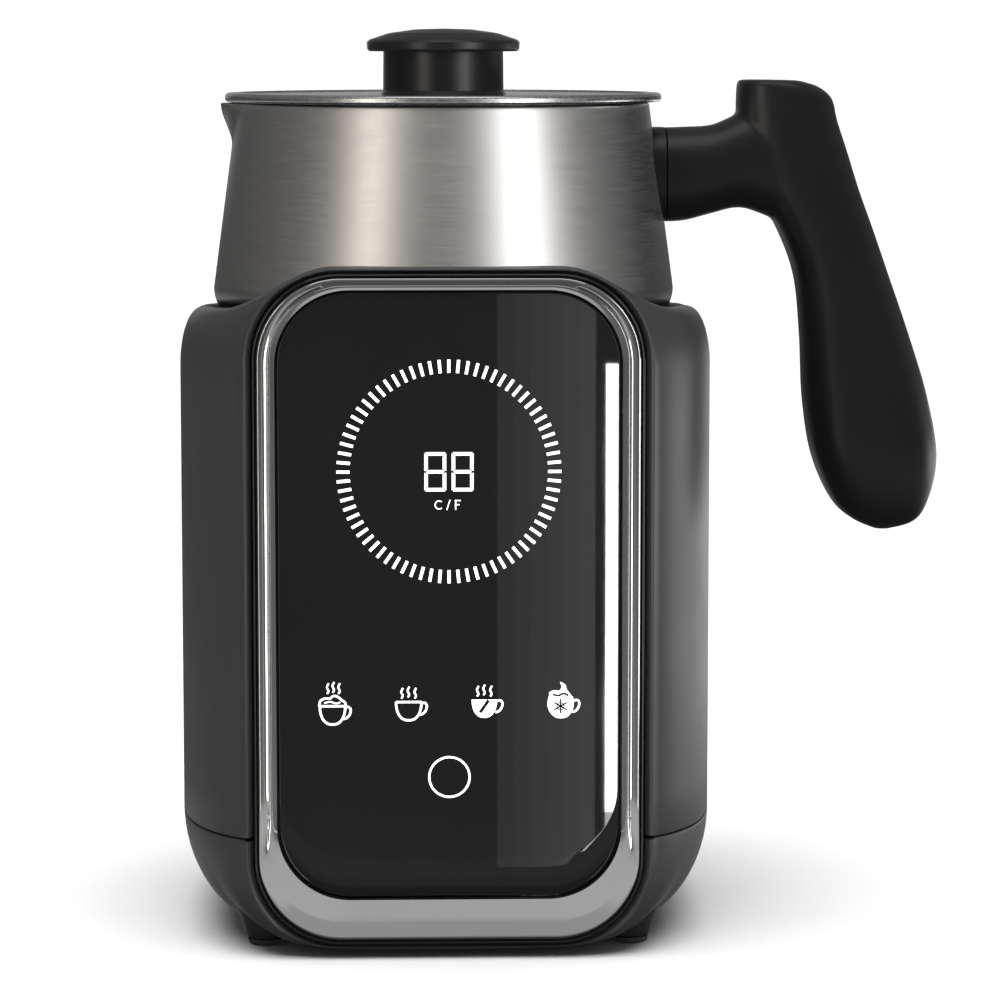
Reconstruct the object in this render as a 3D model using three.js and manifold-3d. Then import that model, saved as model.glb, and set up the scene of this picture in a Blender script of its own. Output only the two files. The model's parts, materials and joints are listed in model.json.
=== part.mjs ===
// An induction milk frother: a lift-off steel jug with a lid, a magnetic whisk and a side handle,
// standing in the well of a heating base that has a glass touch panel on its front.
// Millimetres, +Z up. Pieces are placed about the jug's axis, and the last group moves them so that
// the origin is on the table, under the middle of the whole object.
import * as THREE from "three";
import { mergeVertices } from "three/addons/utils/BufferGeometryUtils.js";
import { ConvexGeometry } from "three/addons/geometries/ConvexGeometry.js";
import Module from "manifold-3d";

const wasm = await Module();
wasm.setup();

// ---- driving dimensions ----
const GAP = 0.3;
const BEYOND = 200; // past every side of the object, for cutting tools

const BODY_HALF_WIDTH = 65.1;
const BODY_FRONT_REACH = 78.6; // the plan's front half, before the flat front cuts it
const BODY_REAR_REACH = 65;
const FRONT_Y = -69.5;
const BODY_BOTTOM = 1.8;
const ARCH_TOP = 163.4;
const RIM_Z = 150.4; // the rim at the sides of the well
const RIM_FALL = 0.046; // how fast the rim falls towards the rear
const WALL = 2.6;
const SEAM_Z = 28.5;
const SHOULDER = { width: 5.5, height: 14 };
const PLAN_FRONT_POWER = 3.4;
const PLAN_REAR_POWER = 2.5;

const WELL_R = 60;
const WELL_NECK_R = 52.6;
const WELL_FLOOR_Z = 80;

const BEZEL = { halfWidth: 46, bottom: 3.2, top: 162.3, radius: 20.3 };
const TRIM_FRONT_Y = -72;
const TRIM = { halfWidth: 44.9, bottom: 4.6, top: 161.4, radius: 19.6 };
const GLASS = { halfWidth: 40.3, bottom: 14.9, top: 158.3, radius: 17 };
const BEZEL_BACK_Y = -64.3;
const BEZEL_FLOOR_Y = -68.6;
const GLASS_FRONT_Y = -71;
const DIAL_Z = 116.1;
const DIAL_R = 26.4;

const JUG_BOTTOM = 84;
const JUG_RIM_Z = 200.7;
const JUG_RIM_R = 51.2;
const JUG_BELLY_R = 57.3;
const JUG_BELLY_Z = 155;
const JUG_NECK_R = 51.2;
const JUG_WALL = 1.2;
const JUG_FLOOR = JUG_BOTTOM + 2;

const LID_R = 54.2;
const LID_BOTTOM = JUG_RIM_Z + GAP;
const LID_TOP = 203.2;
const POST_R = 15;
const KNOB_R = 19;
const KNOB_TOP = 219;
const KNOB_BOTTOM = 213.4;

const COIL_R = 45;
const SENSOR_X = 31;
const SENSOR_HOLE_R = 7.3;
const BOARD_BOTTOM = 28.8;
const BOARD_TOP = 30.4;
const FAN_BOTTOM = 5.2;
const MOTOR_BOTTOM = 36.3;
const MAGNET_REACH = 10; // from the whisk's axis to the middle of each drive magnet
const CORD_Z = 19;
const GLAND_REACH = 67;
const FRONT_FOOT = [44, -52];
const REAR_FOOT = [38, 42];
const CASE_SCREW = [50, 27];
const LOCATING_POST = [38, 38];
const PANEL_HOLE = { halfWidth: 36, bottom: 14, top: 146, radius: 8 };

const HANDLE_REACH = 124.1;
const ARM_TOP = 194.5;
const ARM_BOTTOM = 171;
const COLLAR_END = 55.1;
const HANDLE_SCREW_Z = 183;
const HANDLE_SCREW_Y = 6;

// ---- materials ----
function finish(color, roughness, metalness = 0) {
  return new THREE.MeshStandardMaterial({ color, roughness, metalness });
}
const SATIN_BLACK = finish(0x24262a, 0.5);
const BLACK = finish(0x0c0c0e, 0.35);
const STEEL = finish(0xb9b7b2, 0.34, 1);
const CHROME = finish(0xd0d0d0, 0.08, 1);
const DARK_GLASS = finish(0x0a0b0c, 0.05);
const RUBBER = finish(0x1a1a1a, 0.85);
const COPPER = finish(0xb06a3b, 0.4, 1);
const BOARD = finish(0x1d5a36, 0.6);
const ALUMINIUM = finish(0xa9adb0, 0.45, 1);
const FERRITE = finish(0x2d2c2b, 0.8);
const MAGNET = finish(0x9a9ca0, 0.3, 1);
const WHITE = finish(0xf2f2ee, 0.5);

// ---- solids ----
function solid(geometry) {
  const bare = new THREE.BufferGeometry();
  const source = geometry.index ? geometry.toNonIndexed() : geometry;
  bare.setAttribute("position", source.getAttribute("position").clone());
  const merged = mergeVertices(bare, 1e-4);
  return new wasm.Manifold(
    new wasm.Mesh({
      numProp: 3,
      vertProperties: merged.attributes.position.array,
      triVerts: new Uint32Array(merged.index.array),
    }),
  );
}

function geometryOf(body) {
  const mesh = body.getMesh();
  const geometry = new THREE.BufferGeometry();
  geometry.setAttribute("position", new THREE.BufferAttribute(mesh.vertProperties, 3));
  geometry.setIndex(new THREE.BufferAttribute(mesh.triVerts, 1));
  const flat = geometry.toNonIndexed();
  flat.computeVertexNormals();
  return flat;
}

function cut(body, ...tools) {
  return tools.reduce((left, tool) => left.subtract(tool), body);
}

function join(body, ...more) {
  return more.reduce((left, piece) => left.add(piece), body);
}

// A round solid about +Z from profile points [radius, z], listed from the lower axis end outwards.
function turned(profile, sides = 32) {
  const points = profile.map(([r, z]) => new THREE.Vector2(r, z));
  return solid(new THREE.LatheGeometry(points, sides).rotateX(Math.PI / 2));
}

function ring(inner, outer, bottom, top, sides = 32) {
  return turned([[inner, bottom], [outer, bottom], [outer, top], [inner, top], [inner, bottom]], sides);
}

function rod(radius, bottom, top, sides = 20, x = 0, y = 0) {
  const shape = turned([[0, bottom], [radius, bottom], [radius, top], [0, top]], sides);
  return shape.translate([x, y, 0]);
}

function rodAlongY(radius, front, rear, x, z, sides = 16) {
  const shape = new THREE.CylinderGeometry(radius, radius, rear - front, sides);
  return solid(shape.translate(x, (front + rear) / 2, z));
}

function block(x0, x1, y0, y1, z0, z1) {
  const shape = new THREE.BoxGeometry(x1 - x0, y1 - y0, z1 - z0);
  return solid(shape.translate((x0 + x1) / 2, (y0 + y1) / 2, (z0 + z1) / 2));
}

// A plate with round corners standing upright, from one depth to another along Y.
function uprightPlate({ halfWidth, bottom, top, radius }, front, rear, segments = 5) {
  const shape = new THREE.Shape();
  shape.moveTo(-halfWidth + radius, bottom);
  shape.lineTo(halfWidth - radius, bottom);
  shape.absarc(halfWidth - radius, bottom + radius, radius, -Math.PI / 2, 0, false);
  shape.lineTo(halfWidth, top - radius);
  shape.absarc(halfWidth - radius, top - radius, radius, 0, Math.PI / 2, false);
  shape.lineTo(-halfWidth + radius, top);
  shape.absarc(-halfWidth + radius, top - radius, radius, Math.PI / 2, Math.PI, false);
  shape.lineTo(-halfWidth, bottom + radius);
  shape.absarc(-halfWidth + radius, bottom + radius, radius, Math.PI, 1.5 * Math.PI, false);
  const plate = new THREE.ExtrudeGeometry(shape, {
    depth: rear - front,
    bevelEnabled: false,
    curveSegments: segments,
  });
  return solid(plate.rotateX(Math.PI / 2).translate(0, rear, 0));
}

function grown(plate, by) {
  return {
    halfWidth: plate.halfWidth + by,
    bottom: plate.bottom - by,
    top: plate.top + by,
    radius: plate.radius + by,
  };
}

// A closed skin through rings of points, with a flat fan over each end.
function skin(rings) {
  const positions = [];
  const faces = [];
  const count = rings[0].length;
  rings.forEach((points) => points.forEach((p) => positions.push(...p)));
  for (let k = 0; k + 1 < rings.length; k++) {
    for (let i = 0; i < count; i++) {
      const a = k * count + i;
      const b = k * count + ((i + 1) % count);
      faces.push(a, b, b + count, a, b + count, a + count);
    }
  }
  const addCentre = (points) => {
    const middle = [0, 1, 2].map((axis) => points.reduce((sum, p) => sum + p[axis], 0) / count);
    positions.push(...middle);
    return positions.length / 3 - 1;
  };
  const first = addCentre(rings[0]);
  const last = addCentre(rings[rings.length - 1]);
  const lastRing = (rings.length - 1) * count;
  for (let i = 0; i < count; i++) {
    const next = (i + 1) % count;
    faces.push(first, next, i);
    faces.push(last, lastRing + i, lastRing + next);
  }
  const geometry = new THREE.BufferGeometry();
  geometry.setAttribute("position", new THREE.Float32BufferAttribute(positions, 3));
  geometry.setIndex(faces);
  return solid(geometry);
}

// ---- the casing's form ----
const { smoothstep, lerp } = THREE.MathUtils;

// How far the outline is from the jug's axis in a direction seen from above.
function planRadius(angle) {
  const rear = Math.sin(angle) > 0;
  const power = rear ? PLAN_REAR_POWER : PLAN_FRONT_POWER;
  const reach = rear ? BODY_REAR_REACH : BODY_FRONT_REACH;
  const across = Math.abs(Math.cos(angle)) / BODY_HALF_WIDTH;
  const along = Math.abs(Math.sin(angle)) / reach;
  return (across ** power + along ** power) ** (-1 / power);
}

// Half the casing's width at a distance along Y from the jug's axis.
function halfWidthAt(y) {
  const power = y > 0 ? PLAN_REAR_POWER : PLAN_FRONT_POWER;
  const reach = y > 0 ? BODY_REAR_REACH : BODY_FRONT_REACH;
  return BODY_HALF_WIDTH * (1 - (Math.abs(y) / reach) ** power) ** (1 / power);
}

// The drop of a rounded edge of the given width and height, at a distance in from the outline.
function edgeDrop(distance, width, height) {
  const t = Math.max(0, 1 - distance / width);
  return height * (1 - Math.sqrt(1 - t * t));
}

// The top is a level rim that falls a little to the rear and rises to an arch over the front face.
function topHeight(x, y, distance) {
  const rim = RIM_Z - RIM_FALL * y;
  const rise = (ARCH_TOP - rim) * smoothstep(-y, 25, 58);
  const arch = 1 - smoothstep(Math.abs(x), 27, 55);
  return rim + rise * arch - edgeDrop(distance, SHOULDER.width, SHOULDER.height);
}

function bottomHeight(y, distance) {
  const back = smoothstep(y, FRONT_Y, -54);
  return BODY_BOTTOM + edgeDrop(distance, lerp(11, 24, back), lerp(22, 27, back));
}

// A height inside the thickness of the bottom wall, where a post can start.
function floorHeight(x, y) {
  const distance = planRadius(Math.atan2(y, x)) - Math.hypot(x, y);
  return bottomHeight(y, distance) + WALL / 2;
}

function casing(inset, sides, topSteps, bottomSteps) {
  const ringAt = (distance, height) => {
    const points = [];
    for (let i = 0; i < sides; i++) {
      const angle = (2 * Math.PI * i) / sides;
      const r = planRadius(angle) - inset - distance;
      const x = r * Math.cos(angle);
      const y = r * Math.sin(angle);
      points.push([x, y, height(x, y, distance)]);
    }
    return points;
  };
  const under = bottomSteps.map((d) => ringAt(d, (x, y, e) => bottomHeight(y, e) + inset));
  const over = topSteps.map((d) => ringAt(d, (x, y, e) => topHeight(x, y, e) - inset));
  return skin([...under, ...over]);
}

function casingShell() {
  const outer = casing(
    0,
    48,
    [0, 0.6, 2, 5.5, 12, 28],
    [40, 18, 9, 3.4, 0.8, 0],
  );
  const inner = casing(WALL, 24, [0, 2, 5.5, 28], [30, 14, 5, 0]);
  const flatFront = block(-90, 90, -100, FRONT_Y, -10, 200);
  const innerFront = block(-90, 90, -100, BEZEL_BACK_Y + WALL, -10, 200);
  return cut(
    outer,
    flatFront,
    cut(inner, innerFront),
    rod(WELL_R, 120, 200, 48),
    uprightPlate(grown(BEZEL, GAP), -90, BEZEL_BACK_Y + GAP),
    uprightPlate(PANEL_HOLE, -80, -50),
  );
}

// ---- base ----
const SLOTS = [-3, -2, -1, 0, 1, 2, 3];

// The same place in all four quarters.
function quarters([x, y]) {
  return [[-x, -y], [-x, y], [x, -y], [x, y]];
}

function mainHousing(shell) {
  const lower = block(-BEYOND, BEYOND, -BEYOND, BEYOND, -50, SEAM_Z + GAP / 2);
  const pitch = 5;
  const half = 1.2;
  const louvres = SLOTS.map((i) => block(i * pitch - half, i * pitch + half, 50, 80, 38, 56));
  const postBottom = SEAM_Z + 0.2;
  const postTop = 60;
  let housing = cut(shell, lower, ...louvres);
  for (const [x, y] of quarters(CASE_SCREW)) {
    const wallX = Math.sign(x) * (halfWidthAt(y) - WALL / 2);
    const rib = block(Math.min(x, wallX), Math.max(x, wallX), y - half, y + half, postBottom, postTop);
    const post = join(rod(4, postBottom, postTop, 12, x, y), rib);
    housing = housing.add(cut(post, rod(1.75, SEAM_Z - 5, 48, 8, x, y)));
  }
  return housing;
}

function lowerHousing(shell) {
  const upper = block(-BEYOND, BEYOND, -BEYOND, BEYOND, SEAM_Z - GAP / 2, 300);
  const pitch = 6;
  const half = 1.6;
  const inlet = SLOTS.map((i) => block(i * pitch - half, i * pitch + half, -22, 22, -5, 8));
  let housing = cut(shell, upper, ...inlet, rodAlongY(4.6, 50, 80, 0, CORD_Z));
  for (const [x, y] of quarters(CASE_SCREW)) {
    const post = rod(4.6, floorHeight(x, y) + 1.5, SEAM_Z - 0.3, 12, x, y);
    const screwHole = join(rod(2, -5, 40, 8, x, y), rod(3.4, -5, 9.5, 10, x, y));
    housing = cut(housing.add(post), screwHole);
  }
  for (const [x, y] of quarters(LOCATING_POST)) {
    housing = housing.add(rod(2.5, floorHeight(x, y), BOARD_BOTTOM - 0.6, 8, x, y));
  }
  return housing;
}

function frontBezel() {
  return cut(
    uprightPlate(BEZEL, -70.2, BEZEL_BACK_Y),
    uprightPlate(grown(TRIM, GAP), -90, BEZEL_FLOOR_Y),
    uprightPlate({ halfWidth: 35, bottom: 20, top: 150, radius: 9 }, -90, -50),
  );
}

function chromeTrim() {
  const outer = join(
    uprightPlate(grown(TRIM, -0.8), TRIM_FRONT_Y, -70),
    uprightPlate(TRIM, -71.2, BEZEL_FLOOR_Y - GAP),
  );
  return cut(outer, uprightPlate(grown(GLASS, GAP), -90, -50));
}

function touchGlass() {
  return uprightPlate(GLASS, GLASS_FRONT_Y, BEZEL_FLOOR_Y - GAP);
}

function displayBoard() {
  return uprightPlate({ halfWidth: 34, bottom: 22, top: 148, radius: 4 }, -66.2, -64.6, 3);
}

function dialLightGuide() {
  const guide = ring(DIAL_R - 4.2, DIAL_R + 0.6, 0, 2.1);
  return guide.rotate([90, 0, 0]).translate([0, -66.5, DIAL_Z]);
}

function digitModule() {
  return block(-8, 8, -68.6, -66.5, DIAL_Z - 9, DIAL_Z + 6);
}

function jugWell() {
  return cut(
    turned(
      [
        [0, WELL_FLOOR_Z - 2],
        [WELL_NECK_R + 2, WELL_FLOOR_Z - 2],
        [WELL_NECK_R + 2, 135],
        [WELL_R - 0.5, 143],
        [WELL_R - 0.5, 146.8],
        [WELL_R - 2.2, 146.8],
        [WELL_NECK_R, 137.5],
        [WELL_NECK_R, WELL_FLOOR_Z],
        [0, WELL_FLOOR_Z],
      ],
      48,
    ),
    rod(5.6, 70, 90, 16, SENSOR_X, 0),
  );
}

function seatRing() {
  return ring(38, 45, WELL_FLOOR_Z + GAP, JUG_BOTTOM - GAP);
}

function coilCarrier() {
  const carrier = ring(19, COIL_R + 3, 66, 69);
  const sensorHole = rod(SENSOR_HOLE_R, 60, 80, 16, SENSOR_X, 0);
  const places = [[0, 42], [-42, 0], [0, -42]];
  const legs = places.map(([x, y]) => rod(2.6, BOARD_TOP + GAP, 66.5, 8, x, y));
  return cut(join(carrier, ...legs), sensorHole);
}

function inductionCoil() {
  return cut(ring(21, COIL_R, 69.3, 73.6), rod(SENSOR_HOLE_R, 60, 80, 16, SENSOR_X, 0));
}

function ferrite(index) {
  const bar = block(22, 44, -3, 3, 61.4, 65.7);
  return bar.rotate([0, 0, 30 + 90 * index + (index % 2) * 30]);
}

// The motor's can, with a raised nose round the hole that the shaft comes out of.
function motorBody() {
  const shoulder = 57;
  const top = 58;
  const noseTop = 60.5;
  const boreBottom = 52;
  return turned([
    [0, MOTOR_BOTTOM],
    [16, MOTOR_BOTTOM],
    [16, shoulder],
    [15, top],
    [5, top],
    [5, noseTop],
    [2.4, noseTop],
    [2.4, boreBottom],
    [0, boreBottom],
  ]);
}

function motorBracket() {
  const top = MOTOR_BOTTOM - GAP;
  const footX = 26;
  const feet = [-footX, footX].map((x) => rod(4, BOARD_TOP + GAP, top, 12, x, 0));
  const holes = [-footX, footX].map((x) => rod(2, 20, 40, 8, x, 0));
  return cut(join(block(-30, 30, -9, 9, top - 3, top), ...feet), ...holes);
}

function powerBoard() {
  return block(-44, 44, -46, 44, BOARD_BOTTOM, BOARD_TOP);
}

function heatSink() {
  const front = 22;
  const rear = 38;
  const pitch = 6.4;
  const base = block(-24, 4, front, rear, BOARD_TOP + GAP, 33);
  const fins = [0, 1, 2, 3, 4].map((i) => block(-24 + i * pitch, -22 + i * pitch, front, rear, 32.5, 46));
  return join(base, ...fins);
}

function filterCapacitor() {
  return rod(6, BOARD_TOP + GAP, 48, 20, 22, 30);
}

function filterChoke() {
  return ring(3.5, 8, BOARD_TOP + GAP, 38, 20).translate([32, -24, 0]);
}

function fanFrame() {
  const half = 25;
  const armTop = FAN_BOTTOM + 1.5;
  const frame = cut(block(-half, half, -half, half, FAN_BOTTOM, FAN_BOTTOM + 12), rod(23, 0, 30, 32));
  const arm = block(1 - half, half - 1, -1.2, 1.2, FAN_BOTTOM, armTop);
  return join(frame, arm.rotate([0, 0, 45]), arm.rotate([0, 0, 135]), rod(8, FAN_BOTTOM, armTop));
}

function fanRotor() {
  const hub = rod(9, 7.2, 16.4);
  const pitchAngle = 38;
  const blade = block(8, 21.8, -0.6, 0.6, -5, 5).rotate([pitchAngle, 0, 0]).translate([0, 0, 11.8]);
  const turns = [0, 1, 2, 3, 4, 5, 6].map((i) => (360 / 7) * i);
  return join(hub, ...turns.map((turn) => blade.rotate([0, 0, turn])));
}

function motorShaft() {
  return rod(1.5, 53, 74.5, 12);
}

function driveHub() {
  const hub = cut(rod(16.5, 66, 74.2, 32), rod(1.8, 60, 80, 12));
  return cut(hub, ...[-1, 1].map((s) => rod(4.8, 70.2, 80, 16, s * MAGNET_REACH, 0)));
}

function driveMagnet(side) {
  return rod(4.4, 70.5, 74, 16, side * MAGNET_REACH, 0);
}

function sensorHolder() {
  const tube = ring(4.4, 6.6, 62, 73.2, 16);
  const floor = ring(1.8, 5, 60.4, 62.2, 16);
  return join(tube, floor).translate([SENSOR_X, 0, 0]);
}

function sensorSpring() {
  return ring(2.2, 3.6, 62.6, 74.6, 12).translate([SENSOR_X, 0, 0]);
}

// A stem inside the spring under a wider cap, which meets the underside of the jug.
function sensorCap() {
  const stem = rod(1.5, 64, 75.5, 16);
  const capTop = JUG_BOTTOM - GAP;
  const cap = turned([[0, 74.9], [3.9, 74.9], [3.9, capTop - 0.5], [3.2, capTop], [0, capTop]], 16);
  return join(stem, cap).translate([SENSOR_X, 0, 0]);
}

// A tapered foot grows out of the rounded underside and ends in a rubber pad.
function foot([x, y], casingOuter) {
  const sides = 16;
  const circle = (cx, cy, r, z) => {
    const angles = Array.from({ length: sides }, (_, i) => (2 * Math.PI * i) / sides);
    return angles.map((a) => [cx + r * Math.cos(a), cy + r * Math.sin(a), z]);
  };
  const outward = [1.6 * Math.sign(x), Math.sign(y)];
  const top = circle(x + outward[0], y + outward[1], 8, 17);
  return skin([circle(x, y, 4.6, 1.6), top]).subtract(casingOuter);
}

function footPad([x, y]) {
  return turned([[0, 0], [3.9, 0], [4.3, 0.4], [4.3, 1.3], [0, 1.3]], 16).translate([x, y, 0]);
}

function housingScrew([x, y]) {
  return join(rod(3, 7, 9.2, 10, x, y), rod(1.4, 9, 44, 8, x, y));
}

function cordGland() {
  const gland = join(rodAlongY(4.3, 51, GLAND_REACH, 0, CORD_Z), rodAlongY(5.6, 50, 53, 0, CORD_Z));
  return gland.subtract(rodAlongY(2.6, 50, 80, 0, CORD_Z, 12));
}

// ---- jug ----
// A steel cup: a cone that widens downwards, a rounded belly, then a straight neck that fits the well.
function jugProfile(inset) {
  const points = [];
  const bellyRadius = 9.5;
  const centre = JUG_BELLY_R - bellyRadius;
  const base = JUG_BOTTOM + (inset > 0 ? JUG_FLOOR - JUG_BOTTOM : 0);
  const corner = 5;
  points.push([0, base]);
  for (let i = 0; i <= 2; i++) {
    const a = -Math.PI / 2 + (i / 2) * (Math.PI / 2);
    const r = JUG_NECK_R - corner + (corner - inset) * Math.cos(a);
    points.push([r, base + (corner - inset) * (1 + Math.sin(a))]);
  }
  const turnOut = Math.acos((JUG_NECK_R - centre) / bellyRadius);
  for (let i = 0; i <= 4; i++) {
    const a = -turnOut * (1 - i / 4);
    const r = centre + (bellyRadius - inset) * Math.cos(a);
    points.push([r, JUG_BELLY_Z + (bellyRadius - inset) * Math.sin(a)]);
  }
  return points;
}

function jugSpout(inset) {
  const tip = JUG_RIM_R + 4 - inset;
  const half = 9 - inset;
  const low = 191.5 + inset;
  const wall = JUG_RIM_R + 1.2 - inset;
  return solid(
    new ConvexGeometry(
      [
        [-tip, 0, JUG_RIM_Z],
        [-tip + 0.6, 1.4, JUG_RIM_Z],
        [-tip + 0.6, -1.4, JUG_RIM_Z],
        [-JUG_RIM_R + 1.6, half, JUG_RIM_Z],
        [-JUG_RIM_R + 1.6, -half, JUG_RIM_Z],
        [-wall, 0, low],
        [-wall + 6, 0, low + 2],
        [-40, 0, JUG_RIM_Z],
      ].map((p) => new THREE.Vector3(...p)),
    ),
  );
}

function jugShell() {
  const outer = turned([...jugProfile(0), [JUG_RIM_R, JUG_RIM_Z], [0, JUG_RIM_Z]], 48);
  const inner = turned(
    [...jugProfile(JUG_WALL), [JUG_RIM_R - JUG_WALL, JUG_RIM_Z], [JUG_RIM_R - JUG_WALL, 210], [0, 210]],
    48,
  );
  return cut(join(outer, jugSpout(0)), inner, jugSpout(1.3));
}

function ovalRing(centre, across, depth, power = 2.6, sides = 16) {
  const points = [];
  for (let i = 0; i < sides; i++) {
    const a = (2 * Math.PI * i) / sides;
    const c = Math.cos(a);
    const s = Math.sin(a);
    const u = Math.sign(c) * Math.abs(c) ** (2 / power);
    const v = Math.sign(s) * Math.abs(s) ** (2 / power);
    points.push([centre[0] + across[0] * u, v * depth, centre[1] + across[1] * u]);
  }
  return points;
}

// The grip hangs from a slanted top down to a swollen, rounded tip. Each level gives the inner edge,
// the outer edge and half the depth, and a smooth curve runs through the levels.
const GRIP_LEVELS = [
  [73.2, 205.8, 96.4, 201.4, 10.8],
  [73, 199, 98.1, 196.5, 11.4],
  [74, 190, 100.6, 189, 11.8],
  [77.5, 180, 103.8, 179, 12],
  [83.6, 168.8, 107.6, 168.6, 12],
  [87.6, 158, 111.5, 157.5, 12],
  [89.3, 143, 116.6, 143, 12.4],
  [90.2, 126, 121.8, 126, 13],
  [92.9, 111.2, HANDLE_REACH, 111, 13],
  [98.4, 100, 121.6, 99.3, 10.5],
  [110.2, 93.6, 111, 93.6, 0.4],
];

function gripRings() {
  const inner = new THREE.CatmullRomCurve3(GRIP_LEVELS.map((l) => new THREE.Vector3(l[0], l[1], l[4])));
  const outer = new THREE.CatmullRomCurve3(GRIP_LEVELS.map((l) => new THREE.Vector3(l[2], l[3], l[4])));
  const steps = 16;
  const rings = [];
  for (let k = 0; k <= steps; k++) {
    const a = inner.getPoint(k / steps);
    const b = outer.getPoint(k / steps);
    const x = Math.min(b.x, HANDLE_REACH);
    rings.push(ovalRing([(a.x + x) / 2, (a.y + b.y) / 2], [(x - a.x) / 2, (b.y - a.y) / 2], a.z));
  }
  return rings;
}

function armRings() {
  const stations = [
    [54, ARM_BOTTOM, ARM_TOP, 11.8],
    [60, 171.4, 194.7, 11.6],
    [67, 173.2, 195.2, 11.4],
    [74, 174.6, 199, 11.2],
    [82, 172, 200, 11],
  ];
  return stations.map(([x, low, high, depth]) => {
    const across = [0, (high - low) / 2];
    return ovalRing([x, (low + high) / 2], across, depth, 2.6);
  });
}

function rodAlongX(radius, from, to, y, z, sides = 10) {
  const shape = new THREE.CylinderGeometry(radius, radius, to - from, sides).rotateZ(Math.PI / 2);
  return solid(shape.translate((from + to) / 2, y, z));
}

function handleScrewHoles() {
  return [-1, 1].map((side) => rodAlongX(1.9, 40, 70, side * HANDLE_SCREW_Y, HANDLE_SCREW_Z));
}

function handleGrip() {
  const blank = join(skin(gripRings().reverse()), skin(armRings().reverse()));
  return cut(blank, block(40, COLLAR_END + GAP, -30, 30, 160, 210), ...handleScrewHoles());
}

function handleCollar() {
  const middle = (ARM_TOP + ARM_BOTTOM) / 2;
  const halfHeight = (ARM_TOP - ARM_BOTTOM) / 2 + 0.8;
  const rings = [COLLAR_END, 46].map((x) => ovalRing([x, middle], [0, halfHeight], 12.6, 2.6, 20));
  return cut(skin(rings), jugCone(GAP), ...handleScrewHoles());
}

function jugCone(by) {
  const slope = (JUG_BELLY_R - JUG_RIM_R) / (JUG_RIM_Z - JUG_BELLY_Z);
  const radiusAt = (z) => JUG_RIM_R + (JUG_RIM_Z - z) * slope + by;
  return turned([[0, 160], [radiusAt(160), 160], [radiusAt(200), 200], [0, 200]], 48);
}

function handleScrew(side) {
  return rodAlongX(1.5, COLLAR_END - 0.7, 66, side * HANDLE_SCREW_Y, HANDLE_SCREW_Z);
}

// The whisk turns on this pin, which stands on the jug's floor.
function whiskPin() {
  const bottom = JUG_FLOOR + GAP;
  const top = 99.8;
  return turned(
    [[0, bottom], [3.2, bottom], [3.2, 87.4], [1.6, 88], [1.6, top - 0.8], [1, top], [0, top]],
    12,
  );
}

// ---- lid ----
function lidDisc() {
  const disc = turned(
    [[0, LID_BOTTOM], [LID_R - 0.7, LID_BOTTOM], [LID_R, LID_BOTTOM + 0.6], [LID_R, LID_TOP - 0.6],
      [LID_R - 0.6, LID_TOP], [0, LID_TOP]],
    48,
  );
  return disc.subtract(rod(2.2, 190, 210, 12));
}

function lidGasket() {
  return ring(44, 48.6, 196.4, LID_BOTTOM - GAP);
}

function knobPost() {
  return cut(rod(POST_R, LID_TOP + GAP, KNOB_BOTTOM - GAP, 32), rod(1.9, 195, 212, 12));
}

function knobCap() {
  return turned(
    [[0, KNOB_BOTTOM], [17.6, KNOB_BOTTOM], [18.8, 214], [KNOB_R, 215.5], [18.4, 217],
      [15, 218.1], [8, 218.8], [0, KNOB_TOP]],
    40,
  );
}

function knobScrew() {
  return join(rod(4, 199, 200.7, 16), rod(1.6, 199.5, 210, 10));
}

// ---- whisk ----
function whiskCarrier() {
  const carrier = cut(
    turned([[0, 88.6], [14, 88.6], [15, 89.6], [15, 94.4], [6, 94.4], [6, 97.4], [0, 97.4]], 32),
    rod(2.1, 80, 110, 12),
  );
  return cut(carrier, ...[-1, 1].map((s) => rod(4.4, 91, 100, 16, s * MAGNET_REACH, 0)));
}

function whiskMagnet(side) {
  return rod(4, 91.3, 94.2, 16, side * MAGNET_REACH, 0);
}

// A hoop, which stands for the ring of coiled wire, on a thin disc with six holes.
function whisk() {
  const hoopR = 20;
  const boreR = 6.4;
  const bottom = 94.8;
  const hoop = solid(new THREE.TorusGeometry(hoopR, 2.2, 6, 28)).translate([0, 0, 97]);
  const angles = [0, 1, 2, 3, 4, 5].map((i) => (Math.PI / 3) * i);
  const holes = angles.map((a) => rod(3.4, 90, 100, 8, 13 * Math.cos(a), 13 * Math.sin(a)));
  const disc = cut(ring(boreR, hoopR, bottom, bottom + 1.6, 28), ...holes);
  return join(disc, hoop, ring(boreR, boreR + 2, bottom, 99, 28));
}

// ---- assembly ----
function named(name, body, material) {
  const mesh = new THREE.Mesh(geometryOf(body), material);
  mesh.name = name;
  return mesh;
}

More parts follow.
